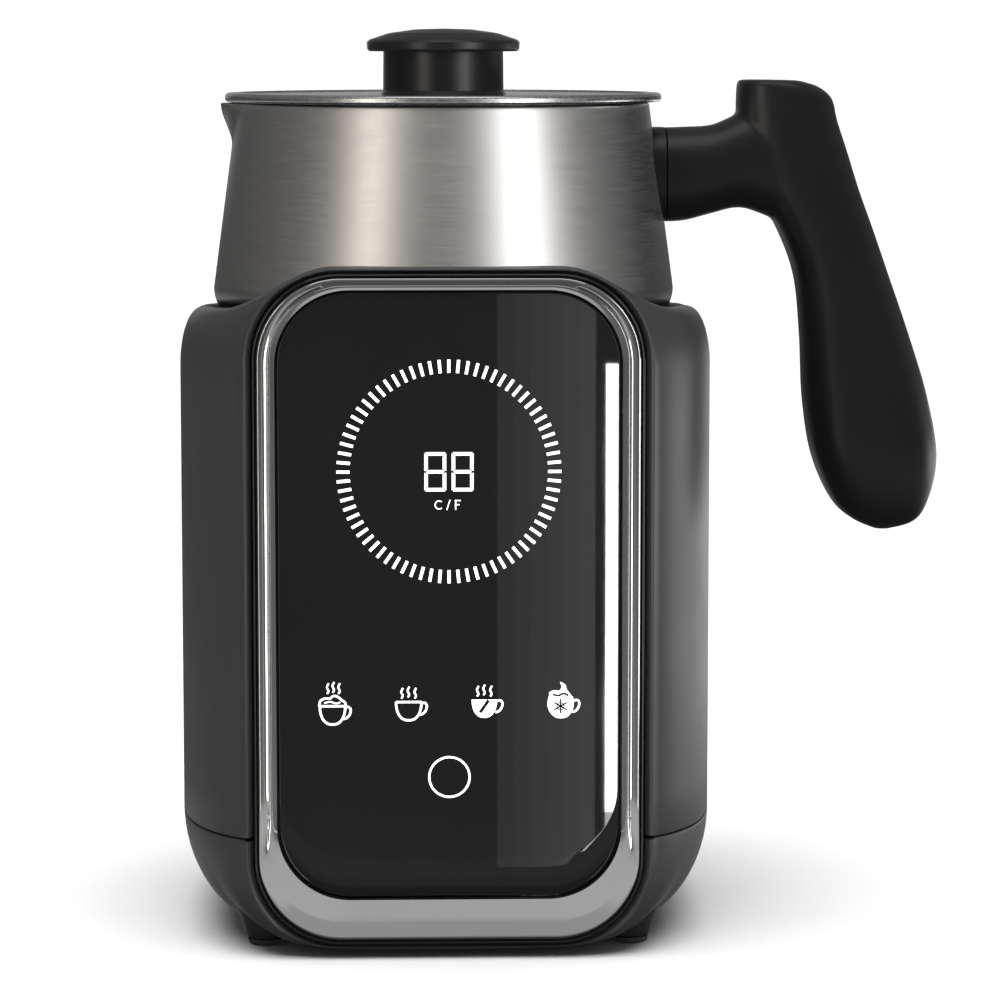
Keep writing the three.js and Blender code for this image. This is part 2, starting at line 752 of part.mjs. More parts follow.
function assemble() {
  const about = new THREE.Group();
  const put = (name, body, material) => about.add(named(name, body, material));

  const shell = casingShell();
  const footClear = casing(-2 * GAP, 48, [0, 30], [40, 18, 9, 3.4, 0.8, 0]);
  put("main_housing", mainHousing(shell), SATIN_BLACK);
  put("lower_housing", lowerHousing(shell), BLACK);
  put("front_bezel", frontBezel(), BLACK);
  put("chrome_trim", chromeTrim(), CHROME);
  put("touch_glass", touchGlass(), DARK_GLASS);
  put("display_board", displayBoard(), BOARD);
  put("dial_light_guide", dialLightGuide(), WHITE);
  put("digit_module", digitModule(), WHITE);
  put("jug_well", jugWell(), SATIN_BLACK);
  put("seat_ring", seatRing(), RUBBER);
  put("coil_carrier", coilCarrier(), BLACK);
  put("induction_coil", inductionCoil(), COPPER);
  for (let i = 0; i < 4; i++) put(`ferrite_bar_${i + 1}`, ferrite(i), FERRITE);
  put("motor_body", motorBody(), STEEL);
  put("motor_bracket", motorBracket(), ALUMINIUM);
  put("power_board", powerBoard(), BOARD);
  put("heat_sink", heatSink(), ALUMINIUM);
  put("filter_capacitor", filterCapacitor(), BLACK);
  put("filter_choke", filterChoke(), COPPER);
  put("fan_frame", fanFrame(), BLACK);
  put("fan_rotor", fanRotor(), BLACK);
  put("motor_shaft", motorShaft(), STEEL);
  put("drive_hub", driveHub(), WHITE);
  put("drive_magnet_1", driveMagnet(-1), MAGNET);
  put("drive_magnet_2", driveMagnet(1), MAGNET);
  put("sensor_holder", sensorHolder(), WHITE);
  put("sensor_spring", sensorSpring(), STEEL);
  put("sensor_cap", sensorCap(), ALUMINIUM);
  put("cord_gland", cordGland(), RUBBER);
  quarters(CASE_SCREW).forEach((place, i) => put(`housing_screw_${i + 1}`, housingScrew(place), STEEL));
  for (const [end, [x, y]] of [["front", FRONT_FOOT], ["rear", REAR_FOOT]]) {
    for (const [side, sign] of [["left", -1], ["right", 1]]) {
      put(`foot_${end}_${side}`, foot([sign * x, y], footClear), BLACK);
      put(`foot_pad_${end}_${side}`, footPad([sign * x, y]), RUBBER);
    }
  }

  put("jug_shell", jugShell(), STEEL);
  put("handle_collar", handleCollar(), BLACK);
  put("handle_grip", handleGrip(), BLACK);
  put("handle_screw_1", handleScrew(-1), STEEL);
  put("handle_screw_2", handleScrew(1), STEEL);
  put("whisk_pin", whiskPin(), STEEL);
  put("lid_disc", lidDisc(), STEEL);
  put("lid_gasket", lidGasket(), RUBBER);
  put("knob_post", knobPost(), BLACK);
  put("knob_cap", knobCap(), BLACK);
  put("knob_screw", knobScrew(), STEEL);
  put("whisk_carrier", whiskCarrier(), WHITE);
  put("whisk_magnet_1", whiskMagnet(-1), MAGNET);
  put("whisk_magnet_2", whiskMagnet(1), MAGNET);
  put("whisk", whisk(), STEEL);

  about.position.set((BODY_HALF_WIDTH - HANDLE_REACH) / 2, -(TRIM_FRONT_Y + GLAND_REACH) / 2, 0);
  return new THREE.Group().add(about);
}

export default assemble();
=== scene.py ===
"""An induction milk frother: a lift-off steel jug in a heating base with a glass touch panel.
Sizes are in millimetres about the jug's axis, and at() turns them into the row frame's metres."""

import json
import math

import bmesh
import bpy
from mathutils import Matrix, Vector


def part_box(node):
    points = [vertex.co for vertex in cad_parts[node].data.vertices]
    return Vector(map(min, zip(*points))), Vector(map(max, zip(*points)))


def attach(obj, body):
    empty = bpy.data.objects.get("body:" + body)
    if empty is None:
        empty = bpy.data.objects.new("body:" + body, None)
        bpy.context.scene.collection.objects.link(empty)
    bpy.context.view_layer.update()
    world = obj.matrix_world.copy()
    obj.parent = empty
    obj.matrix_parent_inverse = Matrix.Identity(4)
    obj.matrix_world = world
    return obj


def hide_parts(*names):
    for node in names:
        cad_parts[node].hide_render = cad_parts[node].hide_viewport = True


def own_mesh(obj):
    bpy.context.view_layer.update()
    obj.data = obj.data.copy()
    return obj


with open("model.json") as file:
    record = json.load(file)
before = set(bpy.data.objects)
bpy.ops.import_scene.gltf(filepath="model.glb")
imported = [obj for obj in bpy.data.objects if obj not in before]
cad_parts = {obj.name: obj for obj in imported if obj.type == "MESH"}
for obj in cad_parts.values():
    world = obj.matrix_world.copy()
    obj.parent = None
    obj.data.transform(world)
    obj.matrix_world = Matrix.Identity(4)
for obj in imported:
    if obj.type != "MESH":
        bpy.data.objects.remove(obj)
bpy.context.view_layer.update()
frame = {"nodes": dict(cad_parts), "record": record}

low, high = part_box("knob_cap")
AXIS_X = (low.x + high.x) / 2
AXIS_Y = (low.y + high.y) / 2

# ---- sizes, as in the CAD ----
GAP = 0.3
BODY_HALF_WIDTH = 65.1
BODY_FRONT_REACH = 78.6
BODY_REAR_REACH = 65.0
FRONT_EDGE_Y = -68.7
BODY_BOTTOM = 1.8
ARCH_TOP = 163.4
RIM_Z = 150.4
RIM_FALL = 0.046
WALL = 2.6
WALL_SCALE = (0.971, 0.966)  # the inner face's width and depth over the outer one's
SEAM_ROUND = 0.35
SEAM_CLEAR = 0.45
SEAM_Z = 28.5
SHOULDER = (5.5, 14.0)
PLAN_FRONT_POWER = 3.4
PLAN_REAR_POWER = 2.5
WELL_R = 60.0
RIM_ROUND = 0.8
BEZEL = (46.0, 3.2, 162.3, 20.3)  # half width, bottom, top, corner radius
TRIM = (44.9, 4.6, 161.4, 19.6)
GLASS = (40.3, 14.9, 158.3, 17.0)
TRIM_STEPS = (24, 60)  # steps round each corner and along each side
CHIN_BLEND = (25, 37)
DIAL_Z = 116.1
KEY_Z = 43.7
GLAND_Z = 19
SCREW_X = 50
SCREW_Y = 27
BEYOND_REAR = (50, 80)  # a cutter's reach in Y, right through the rear wall
JUG_BOTTOM = 84.0
JUG_RIM_Z = 200.7
JUG_RIM_R = 51.2
JUG_BELLY_R = 57.3
JUG_BELLY_Z = 155.0
JUG_NECK_R = 51.2
JUG_WALL = 1.2
SPOUT_REACH = 4.24
SPOUT_START = 190.0
SPOUT_END = 201.5
SPOUT_HALF_ANGLE = 0.185
LID_R = 54.2
LID_BOTTOM = 201.0
LID_TOP = 203.2
POST_TOP = 213.38
HANDLE_REACH = 124.1
ARM_TOP = 194.5
ARM_BOTTOM = 171.0
COLLAR_END = 55.1


def at(x, y, z):
    return (AXIS_X + x / 1000, AXIS_Y + y / 1000, z / 1000)


# ---- materials ----
def node(tree, kind, **values):
    made = tree.nodes.new(kind)
    for key, value in values.items():
        setattr(made, key, value)
    return made


def noise(tree, coordinates, scale, detail, stretch=(1, 1, 1)):
    """A noise texture in the piece's own metres, squeezed along an axis by a larger stretch."""
    mapping = node(tree, "ShaderNodeMapping")
    mapping.inputs["Scale"].default_value = stretch
    tree.links.new(coordinates, mapping.inputs["Vector"])
    texture = node(tree, "ShaderNodeTexNoise")
    texture.inputs["Scale"].default_value = scale
    texture.inputs["Detail"].default_value = detail
    tree.links.new(mapping.outputs["Vector"], texture.inputs["Vector"])
    return texture.outputs["Fac"]


def spread(tree, value, low_value, high_value, from_low=0.3, from_high=0.7):
    made = node(tree, "ShaderNodeMapRange")
    made.inputs["From Min"].default_value = from_low
    made.inputs["From Max"].default_value = from_high
    made.inputs["To Min"].default_value = low_value
    made.inputs["To Max"].default_value = high_value
    tree.links.new(value, made.inputs["Value"])
    return made.outputs["Result"]


def look(name, color, roughness, metallic=0.0, grain=2500, grain_stretch=(1, 1, 1), bump=0.1,
         depth=0.00003, vary=0.1, rough_vary=0.04, sockets=None, radial=False):
    """A finish with grain in its surface, and slow changes of tone and gloss."""
    made = bpy.data.materials.new(name)
    made.use_nodes = True
    tree = made.node_tree
    shader = tree.nodes["Principled BSDF"]
    shader.inputs["Metallic"].default_value = metallic
    for socket, value in (sockets or {}).items():
        shader.inputs[socket].default_value = value
    coordinates = node(tree, "ShaderNodeTexCoord").outputs["Object"]
    fine = noise(tree, coordinates, grain, 3, grain_stretch)
    slow = noise(tree, coordinates, 28, 2)
    tone = node(tree, "ShaderNodeMix", data_type="RGBA")
    tone.inputs["A"].default_value = (*[c * (1 - vary) for c in color], 1)
    tone.inputs["B"].default_value = (*[min(1, c * (1 + vary)) for c in color], 1)
    if radial:
        tree.links.new(fine, tone.inputs["Factor"])
    else:
        tree.links.new(slow, tone.inputs["Factor"])
    tree.links.new(tone.outputs["Result"], shader.inputs["Base Color"])
    rough = spread(tree, fine if radial else slow, roughness - rough_vary, roughness + rough_vary)
    tree.links.new(rough, shader.inputs["Roughness"])
    relief = node(tree, "ShaderNodeBump")
    relief.inputs["Strength"].default_value = bump
    relief.inputs["Distance"].default_value = depth
    tree.links.new(fine, relief.inputs["Height"])
    tree.links.new(relief.outputs["Normal"], shader.inputs["Normal"])
    if radial:
        tangent = node(tree, "ShaderNodeTangent", direction_type="RADIAL", axis="Z")
        tree.links.new(tangent.outputs["Tangent"], shader.inputs["Tangent"])
    return made


def glow(name, color, strength):
    made = look(name, color, 0.4, bump=0.02)
    shader = made.node_tree.nodes["Principled BSDF"]
    shader.inputs["Emission Color"].default_value = (*color, 1)
    shader.inputs["Emission Strength"].default_value = strength
    return made


BRUSH = (110, 110, 2600)
LOOKS = {
    "housing_plastic": look("housing_plastic", (0.03, 0.03, 0.0305), 0.42, grain=5200, bump=0.16,
                            sockets={"Specular IOR Level": 0.5}),
    "lower_plastic": look("lower_plastic", (0.028, 0.0285, 0.03), 0.42, grain=5200, bump=0.16),
    "bezel_plastic": look("bezel_plastic", (0.008, 0.008, 0.009), 0.14, grain=900, bump=0.02),
    "chrome_trim": look("chrome_trim", (0.74, 0.73, 0.72), 0.05, 1.0, grain=700, bump=0.0005,
                        rough_vary=0.01, vary=0.02),
    "panel_glass": look("panel_glass", (0.0105, 0.0105, 0.011), 0.015, grain=300, bump=0.001,
                        rough_vary=0.004, sockets={"IOR": 1.3}),
    "display_light": glow("display_light", (1.0, 1.0, 1.0), 1.1),
    "jug_steel": look("jug_steel", (0.55, 0.54, 0.525), 0.3, 1.0, grain=1, grain_stretch=BRUSH,
                      bump=0.05, depth=0.00002, vary=0.028, rough_vary=0.025, radial=True,
                      sockets={"Anisotropic": 0.75}),
    "lid_steel": look("lid_steel", (0.58, 0.58, 0.57), 0.27, 1.0, grain=1, grain_stretch=(500, 500, 900),
                      bump=0.035, depth=0.00002, vary=0.05, radial=True,
                      sockets={"Anisotropic": 0.6}),
    "handle_plastic": look("handle_plastic", (0.007, 0.007, 0.0075), 0.38, grain=4200, bump=0.12),
    "knob_plastic": look("knob_plastic", (0.007, 0.007, 0.0075), 0.34, grain=4200, bump=0.12),
    "rubber": look("rubber", (0.018, 0.018, 0.018), 0.8, grain=3000, bump=0.3),
    "seal_silicone": look("seal_silicone", (0.09, 0.09, 0.095), 0.6, grain=2500, bump=0.1),
    "copper_wire": look("copper_wire", (0.62, 0.3, 0.15), 0.35, 1.0, grain=1,
                        grain_stretch=(60, 60, 2600), bump=0.4, depth=0.00006, vary=0.2),
    "circuit_board": look("circuit_board", (0.02, 0.12, 0.06), 0.45, grain=900, bump=0.25, vary=0.3),
    "aluminium": look("aluminium", (0.62, 0.63, 0.65), 0.4, 1.0, grain=2200, bump=0.1),
    "ferrite": look("ferrite", (0.03, 0.029, 0.028), 0.7, grain=1600, bump=0.3),
    "magnet": look("magnet", (0.6, 0.6, 0.62), 0.2, 1.0, grain=1400, bump=0.05),
    "inner_plastic": look("inner_plastic", (0.72, 0.71, 0.67), 0.45, grain=3500, bump=0.1),
    "black_plastic": look("black_plastic", (0.014, 0.014, 0.015), 0.45, grain=4200, bump=0.14),
    "screw_steel": look("screw_steel", (0.5, 0.5, 0.51), 0.3, 1.0, grain=1,
                        grain_stretch=(300, 300, 1500), bump=0.1, vary=0.08),
}

# ---- pieces ----
def settle(mesh, sharp):
    made = bmesh.new()
    made.from_mesh(mesh)
    bmesh.ops.remove_doubles(made, verts=made.verts, dist=1e-7)
    bmesh.ops.recalc_face_normals(made, faces=made.faces)
    made.to_mesh(mesh)
    made.free()
    mesh.shade_smooth()
    mesh.set_sharp_from_angle(angle=math.radians(sharp))


def bare(name, parts, sharp=35):
    """An object from one or more closed (points, faces) parts."""
    points, faces = [], []
    for part_points, part_faces in parts:
        first = len(points)
        points += [at(*p) for p in part_points]
        faces += [[first + i for i in face] for face in part_faces]
    mesh = bpy.data.meshes.new(name)
    mesh.from_pydata(points, [], faces)
    settle(mesh, sharp)
    made = bpy.data.objects.new(name, mesh)
    bpy.context.scene.collection.objects.link(made)
    return made


def show(made, body, slot, replaced=()):
    made.data.materials.clear()
    made.data.materials.append(LOOKS[slot])
    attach(made, body)
    if replaced:
        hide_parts(*replaced)
    return made


def piece(name, parts, body, slot, replaced=(), sharp=35):
    return show(bare(name, parts, sharp), body, slot, replaced)


def applied(made):
    """The object with its modifiers made part of its mesh."""
    depsgraph = bpy.context.evaluated_depsgraph_get()
    mesh = bpy.data.meshes.new_from_object(made.evaluated_get(depsgraph))
    made.modifiers.clear()
    made.data = mesh
    return made


def carve(made, cutters, sharp=35):
    cutter = bare("cutter", cutters)
    change = made.modifiers.new("carve", "BOOLEAN")
    change.operation = "DIFFERENCE"
    change.solver = "EXACT"
    change.object = cutter
    applied(made)
    bpy.data.objects.remove(cutter)
    settle(made.data, sharp)
    return made


# ---- forms ----
def smoothstep(value, start, end):
    t = min(1.0, max(0.0, (value - start) / (end - start)))
    return t * t * (3 - 2 * t)


def mix(a, b, t):
    return a + (b - a) * t


def filleted(points, closed, steps=5):
    """Rounds each corner of a flat line of (a, b[, radius]) points by its radius."""
    out = []
    count = len(points)
    for i, point in enumerate(points):
        radius = point[2] if len(point) > 2 else 0
        if not radius or (not closed and i in (0, count - 1)):
            out.append(tuple(point[:2]))
            continue
        corner = Vector(point[:2])
        before = Vector(points[i - 1][:2]) - corner
        after = Vector(points[(i + 1) % count][:2]) - corner
        half = before.angle(after) / 2
        reach = min(radius / math.tan(half), before.length * 0.49, after.length * 0.49)
        before.normalize()
        after.normalize()
        centre = corner + (before + after).normalized() * (reach / math.cos(half))
        start = corner + before * reach - centre
        end = corner + after * reach - centre
        turn = start.angle(end)
        for k in range(steps + 1):
            t = k / steps
            arm = (start * math.sin((1 - t) * turn) + end * math.sin(t * turn)) / math.sin(turn)
            out.append(tuple(centre + arm))
    return out


def loft(loops, ring=False):
    """A skin through loops of equal count, with its ends filled, or joined end to end as a ring."""
    count = len(loops[0])
    points = [p for loop in loops for p in loop]
    faces = []
    stations = len(loops) if ring else len(loops) - 1
    for k in range(stations):
        a = k * count
        b = ((k + 1) % len(loops)) * count
        faces += [(a + i, a + (i + 1) % count, b + (i + 1) % count, b + i) for i in range(count)]
    if not ring:
        faces.append(list(range(count))[::-1])
        faces.append([len(points) - count + i for i in range(count)])
    return points, faces


def turned(profile, segments=128, centre=(0, 0), steps=5):
    """A solid of revolution. A profile that starts at radius 0 ends there too; others are closed."""
    closed = profile[0][0] > 0
    line = filleted(profile, closed, steps)
    angles = [2 * math.pi * i / segments for i in range(segments)]
    loops = []
    for r, z in line:
        r = max(r, 0.02)
        loops.append([(centre[0] + r * math.cos(a), centre[1] + r * math.sin(a), z) for a in angles])
    return loft(loops, ring=closed)


def turned_along(profile, axis_point, segments=64):
    """The same about a line along Y through a point; the profile's second value is the distance along it."""
    points, faces = turned(profile, segments)
    x0, y0, z0 = axis_point
    return [(x0 + x, y0 + z, z0 + y) for x, y, z in points], faces


def outline(plate, y, corner=14, side=16):
    """An upright rectangle with round corners, anticlockwise as seen from the front."""
    half, bottom, top, radius = plate
    arcs = [(half - radius, bottom + radius, -90), (half - radius, top - radius, 0),
            (radius - half, top - radius, 90), (radius - half, bottom + radius, 180)]
    flat = []
    for index, (cx, cz, start) in enumerate(arcs):
        for k in range(corner + 1):
            a = math.radians(start + 90 * k / corner)
            flat.append((cx + radius * math.cos(a), cz + radius * math.sin(a)))
        nx, nz, nstart = arcs[(index + 1) % 4]
        a = math.radians(nstart)
        end = (nx + radius * math.cos(a), nz + radius * math.sin(a))
        begin = flat[-1]
        flat += [(mix(begin[0], end[0], k / side), mix(begin[1], end[1], k / side))
                 for k in range(1, side)]
    return [(x, y, z) for x, z in flat]


def between(a, b, t):
    return tuple(mix(p, q, t) for p, q in zip(a, b))


def grown(plate, by):
    return (plate[0] + by, plate[1] - by, plate[2] + by, plate[3] + by)


# ---- the casing's form ----
def plan_radius(angle):
    rear = math.sin(angle) > 0
    power = PLAN_REAR_POWER if rear else PLAN_FRONT_POWER
    reach = BODY_REAR_REACH if rear else BODY_FRONT_REACH
    across = abs(math.cos(angle)) / BODY_HALF_WIDTH
    along = abs(math.sin(angle)) / reach
    return (across**power + along**power) ** (-1 / power)


def edge_drop(distance, width, height):
    t = min(1.0, max(0.0, 1 - distance / width))
    return height * (1 - math.sqrt(1 - t * t))


def top_height(x, y, distance):
    rim = RIM_Z - RIM_FALL * y
    rise = (ARCH_TOP - rim) * smoothstep(-y, 25, 58)
    arch = 1 - smoothstep(abs(x), 27, 55)
    return rim + rise * arch - edge_drop(distance, *SHOULDER)


def bottom_height(x, y, distance):
    back = smoothstep(y, -69.5, -54)
    return BODY_BOTTOM + edge_drop(distance, mix(11, 24, back), mix(22, 27, back))


OPENING_LIP = ((0.06, -69.0), (0.2, -69.3), (0.36, -69.36), (0.54, -69.15), (0.97, -68.2), (1.0, -67.2))
CORNER_X = BODY_HALF_WIDTH * (1 - (abs(FRONT_EDGE_Y) / BODY_FRONT_REACH) ** PLAN_FRONT_POWER) ** (
    1 / PLAN_FRONT_POWER)
SIDE_COLUMNS = 220


def directions():
    """Angles round the jug's axis: the sides and rear from the right front corner, then the front."""
    start = math.atan2(FRONT_EDGE_Y, CORNER_X)
    sweep = math.pi - 2 * start
    sides = [start + sweep * i / SIDE_COLUMNS for i in range(SIDE_COLUMNS + 1)]
    close = [CORNER_X - 9 * (k / 12) ** 2 for k in range(1, 13)]
    middle = [close[-1] * (1 - k / 14) for k in range(1, 14)]
    right = close + middle
    xs = [-x for x in right] + [0.0] + right[::-1]
    front = [math.atan2(FRONT_EDGE_Y, x) for x in xs]
    return sides, front


def nearest_on(plate, x, z):
    half, bottom, top, radius = plate
    cx = min(half - radius, max(radius - half, x))
    cz = min(top - radius, max(bottom + radius, z))
    away = Vector((x - cx, z - cz))
    away.normalize()
    return cx + radius * away.x, cz + radius * away.y


def casing_half(height, hub_r, hub_loops, rings, rows, seam, thickness):
    """One closed half of the casing. height is its top or bottom surface, hub_r the radius where it starts,
    seam the height of its edge, and thickness is added to a height to reach its inner face."""
    sides, front = directions()
    is_lower = thickness > 0
    up = 1 if is_lower else -1
    points, faces = [], []

    def add(p):
        points.append(p)
        return len(points) - 1

    def column(angle, is_front, inner):
        radius = plan_radius(angle)
        end = abs(FRONT_EDGE_Y / math.sin(angle)) if is_front else radius
        found = []
        for i in range(rings + 1):
            s = 1 - (1 - i / rings) ** 2
            r = mix(hub_r, end, s)
            x, y = r * math.cos(angle), r * math.sin(angle)
            z = height(x, y, radius - r)
            if is_lower:
                z = min(z, seam - SEAM_CLEAR)
            if inner:
                shrink = mix(WELL_R / (WELL_R + RIM_ROUND), WALL_SCALE[0], s)
                found.append(add((x * shrink, y * mix(shrink, WALL_SCALE[1], s), z + thickness)))
            else:
                found.append(add((x, y, z)))
        if is_front:
            return found
        shoulder = points[found[-1]]
        last = seam if inner else seam - SEAM_ROUND * up
        for k in range(1, rows + 1):
            z = mix(shoulder[2], last, k / rows)
            found.append(add((shoulder[0], shoulder[1], z)))
        if not inner:
            for inset, back in ((0.1, 0.1), (SEAM_ROUND, 0.0)):
                scale = 1 - inset / radius
                found.append(add((shoulder[0] * scale, shoulder[1] * scale, seam - up * back)))
        return found

    def hub(column_points, angle):
        start = points[column_points[0]]
        found = []
        for inset, drop in hub_loops:
            r = hub_r - inset
            found.append(add((r * math.cos(angle), r * math.sin(angle), start[2] - drop)))
        return found

    outer_sides = [column(a, False, False) for a in sides]
    inner_sides = [column(a, False, True) for a in sides]
    outer_front = [column(a, True, False) for a in front]
    inner_front = [column(a, True, True) for a in front]

    def join(first, second):
        for a, b, c, d in zip(first, first[1:], second[1:], second):
            faces.append((a, b, c, d))

    for first, second in zip(outer_sides, outer_sides[1:]):
        join(first, second)
    for first, second in zip(inner_sides, inner_sides[1:]):
        join(second, first)
    for chain, flip in (([outer_sides[-1]] + outer_front + [outer_sides[0]], False),
                        ([inner_sides[-1]] + inner_front + [inner_sides[0]], True)):
        for first, second in zip(chain, chain[1:]):
            a, b = first[: rings + 1], second[: rings + 1]
            join(b, a) if flip else join(a, b)

    # the edge along the seam
    for (a, b), (c, d) in zip(zip(outer_sides, outer_sides[1:]), zip(inner_sides, inner_sides[1:])):
        faces.append((a[-1], c[-1], d[-1], b[-1]))

    # the hub: a rounded rim, or a filled middle
    all_outer = outer_sides + outer_front
    all_inner = inner_sides + inner_front
    angles = sides + front
    count = len(all_outer)
    if hub_loops:
        chains = [[c[0]] + hub(c, a) + [i[0]] for c, a, i in zip(all_outer, angles, all_inner)]
        for k in range(count):
            join(chains[(k + 1) % count], chains[k])
    else:
        faces.append([c[0] for c in all_outer])
        faces.append([c[0] for c in all_inner][::-1])

    # the front opening: its edge rounds over into a groove, then runs back beside the bezel
    def along(side_columns, front_columns):
        left, right = side_columns[-1], side_columns[0]
        last = rings + rows
        towards_rim = [left[i] for i in range(last, rings - 1, -1)]
        towards_seam = [right[i] for i in range(rings, last + 1)]
        return towards_rim + [c[rings] for c in front_columns] + towards_seam

    edge = along(outer_sides, outer_front)
    inner_edge = along(inner_sides, inner_front)
    hole = grown(BEZEL, GAP)
    rows_forward = [edge]
    for share, y in OPENING_LIP:
        row = []
        for i in edge:
            x, _, z = points[i]
            hx, hz = nearest_on(hole, x, z)
            row.append(add((mix(x, hx, share), y, mix(z, hz, share))))
        rows_forward.append(row)
    rows_forward.append(inner_edge)
    for first, second in zip(rows_forward, rows_forward[1:]):
        join(first, second)
    for end, columns in ((0, outer_sides[-1]), (-1, outer_sides[0])):
        cap = [row[end] for row in rows_forward] + columns[rings + rows + 1:][::-1]
        faces.append(cap if end == 0 else cap[::-1])
    return points, faces


def capsule(cx, half, z0, z1, y0, y1, steps=8):
    """A tall slot with round ends, as a solid along Y."""
    loop = []
    for start, z in ((0, z1 - half), (180, z0 + half)):
        for k in range(steps + 1):
            a = math.radians(start + 180 * k / steps)
            loop.append((cx + half * math.cos(a), z + half * math.sin(a)))
    return loft([[(x, y, z) for x, z in loop] for y in (y0, y1)])


def flat_capsule(cx, half, y0, y1, z0, z1):
    points, faces = capsule(cx, half, y0, y1, z0, z1)
    return [(x, z, y) for x, y, z in points], faces


def build_casing():
    rim = [(RIM_ROUND * math.sin(a), RIM_ROUND * (1 - math.cos(a)))
           for a in [math.pi / 2 * k / 5 for k in range(1, 6)]]
    top = casing_half(top_height, WELL_R + RIM_ROUND, rim, 20, 12, SEAM_Z + GAP / 2, -WALL)
    upper = bare("housing", [top])
    vent_pitch, vent_half, vent_z = 5, 1.2, (38, 56)
    carve(upper, [capsule(vent_pitch * i, vent_half, *vent_z, *BEYOND_REAR) for i in range(-3, 4)])
    show(upper, "base", "housing_plastic", ["main_housing"])
    bottom = casing_half(bottom_height, 10.0, [], 28, 5, SEAM_Z - GAP / 2, WALL)
    lower = bare("lower_shell", [bottom])
    slot_pitch, slot_half, slot_reach = 6, 1.6, 22
    cutters = [flat_capsule(slot_pitch * i, slot_half, -slot_reach, slot_reach, -5, 8) for i in range(-3, 4)]
    near, far = BEYOND_REAR
    gland_hole = [(0, near), (4.6, near), (4.6, far), (0, far)]
    cutters.append(turned_along(gland_hole, (0, 0, GLAND_Z)))
    screw_hole = [(0, -5), (3.4, -5), (3.4, 9.5), (0, 9.5)]
    for x in (-SCREW_X, SCREW_X):
        for y in (-SCREW_Y, SCREW_Y):
            cutters.append(turned(screw_hole, 40, (x, y)))
    carve(lower, cutters)
    show(lower, "base", "lower_plastic", ["lower_housing"])


def build_front():
    build_bezel()
    build_trim()
    build_glass()


def build_bezel():
    floor_y, back_y = -68.6, -64.3
    hole = (35, 20, 150, 9)
    inside = grown(TRIM, GAP)
    bezel = [outline(BEZEL, back_y)]
    bezel += [outline(between(BEZEL, inside, t), y)
              for t, y in ((0, -69.7), (0.12, -70.05), (0.4, -70.2), (0.7, -70.1), (1, -69.7))]
    bezel += [outline(inside, floor_y), outline(hole, floor_y), outline(hole, back_y)]
    piece("bezel", [loft(bezel, ring=True)], "base", "bezel_plastic", ["front_bezel"], sharp=50)


def build_trim():
    """A ring. Each entry of its section is a share of the width and how far forward it stands."""
    inner = grown(GLASS, 0.25)
    # Two ridges with a groove between them; at the chin the groove closes into one broad face.
    ridges = [(0, 68.3), (0, 71.0), (0.03, 71.4), (0.07, 71.62), (0.1, 71.66), (0.3, 71.66), (0.5, 71.66),
              (0.51, 71.6), (0.52, 71.2), (0.58, 71.2), (0.6, 71.6), (0.62, 71.8), (0.64, 71.82),
              (0.8, 71.78), (0.98, 71.7), (1, 70.9), (1, 68.3)]
    chin = [(0, 68.3), (0, 70.9), (0.01, 71.1), (0.03, 71.2), (0.05, 71.24), (0.12, 71.3), (0.2, 71.37),
            (0.3, 71.45), (0.38, 71.52), (0.42, 71.55), (0.45, 71.57), (0.55, 71.63), (0.7, 71.72),
            (0.85, 71.81), (0.98, 71.89), (1, 71.3), (1, 68.3)]
    loops = []
    for (t_side, side), (t_chin, low_face) in zip(ridges, chin):
        narrow = outline(between(TRIM, inner, t_side), 0, *TRIM_STEPS)
        broad = outline(between(TRIM, inner, t_chin), 0, *TRIM_STEPS)
        loop = []
        for (xa, _, za), (xb, _, zb) in zip(narrow, broad):
            share = smoothstep((za + zb) / 2, *CHIN_BLEND)
            loop.append((mix(xb, xa, share), -mix(low_face, side, share), mix(zb, za, share)))
        loops.append(loop)
    piece("trim", [loft(loops, ring=True)], "base", "chrome_trim", ["chrome_trim"], sharp=60)


def build_glass():
    half, bottom, top, radius = GLASS
    glass = [outline(GLASS, -68.3), outline(GLASS, -69.9)]
    edge = ((0.03, 0.4, -70.2), (0.08, 1.2, -70.46), (0.15, 2.4, -70.66), (0.24, 4.0, -70.82),
            (0.34, 6.0, -70.93), (0.44, 8.2, -70.985), (0.5, 9.4, -71.0), (0.6, 9.7, -71.0))
    for inset, lift, y in edge:
        glass.append(outline((half - inset, bottom + lift, top - inset, radius - inset), y))
    piece("glass", [loft(glass)], "base", "panel_glass", ["touch_glass"], sharp=60)


# ---- the lit marks ----
DIGIT_X = 3.2
MARK_BACK = -70.98
MARK_FRONT = -71.04


def flat_mark(shape):
    """A thin raised mark on the glass from an (x, z) outline."""
    return loft([[(x, y, z) for x, z in shape] for y in (MARK_BACK, MARK_FRONT)])


def stroke(line, width, closed=False):
    """A band of even width along a line of (x, z) points."""
    count = len(line)
    left, right = [], []
    for i, (x, z) in enumerate(line):
        before = line[i - 1] if closed or i > 0 else line[i]
        after = line[(i + 1) % count] if closed or i < count - 1 else line[i]
        along = Vector((after[0] - before[0], after[1] - before[1])).normalized()
        left.append((x - along.y * width / 2, z + along.x * width / 2))
        right.append((x + along.y * width / 2, z - along.x * width / 2))
    if not closed:
        return flat_mark(left + right[::-1])
    loops = [[(x, y, z) for x, z in side] for side, y in
             ((left, MARK_BACK), (left, MARK_FRONT), (right, MARK_FRONT), (right, MARK_BACK))]
    return loft(loops, ring=True)


def circle(cx, cz, r, count=48, start=0, sweep=360):
    steps = count if sweep == 360 else count + 1
    angles = [math.radians(start + sweep * k / count) for k in range(steps)]
    return [(cx + r * math.cos(a), cz + r * math.sin(a)) for a in angles]


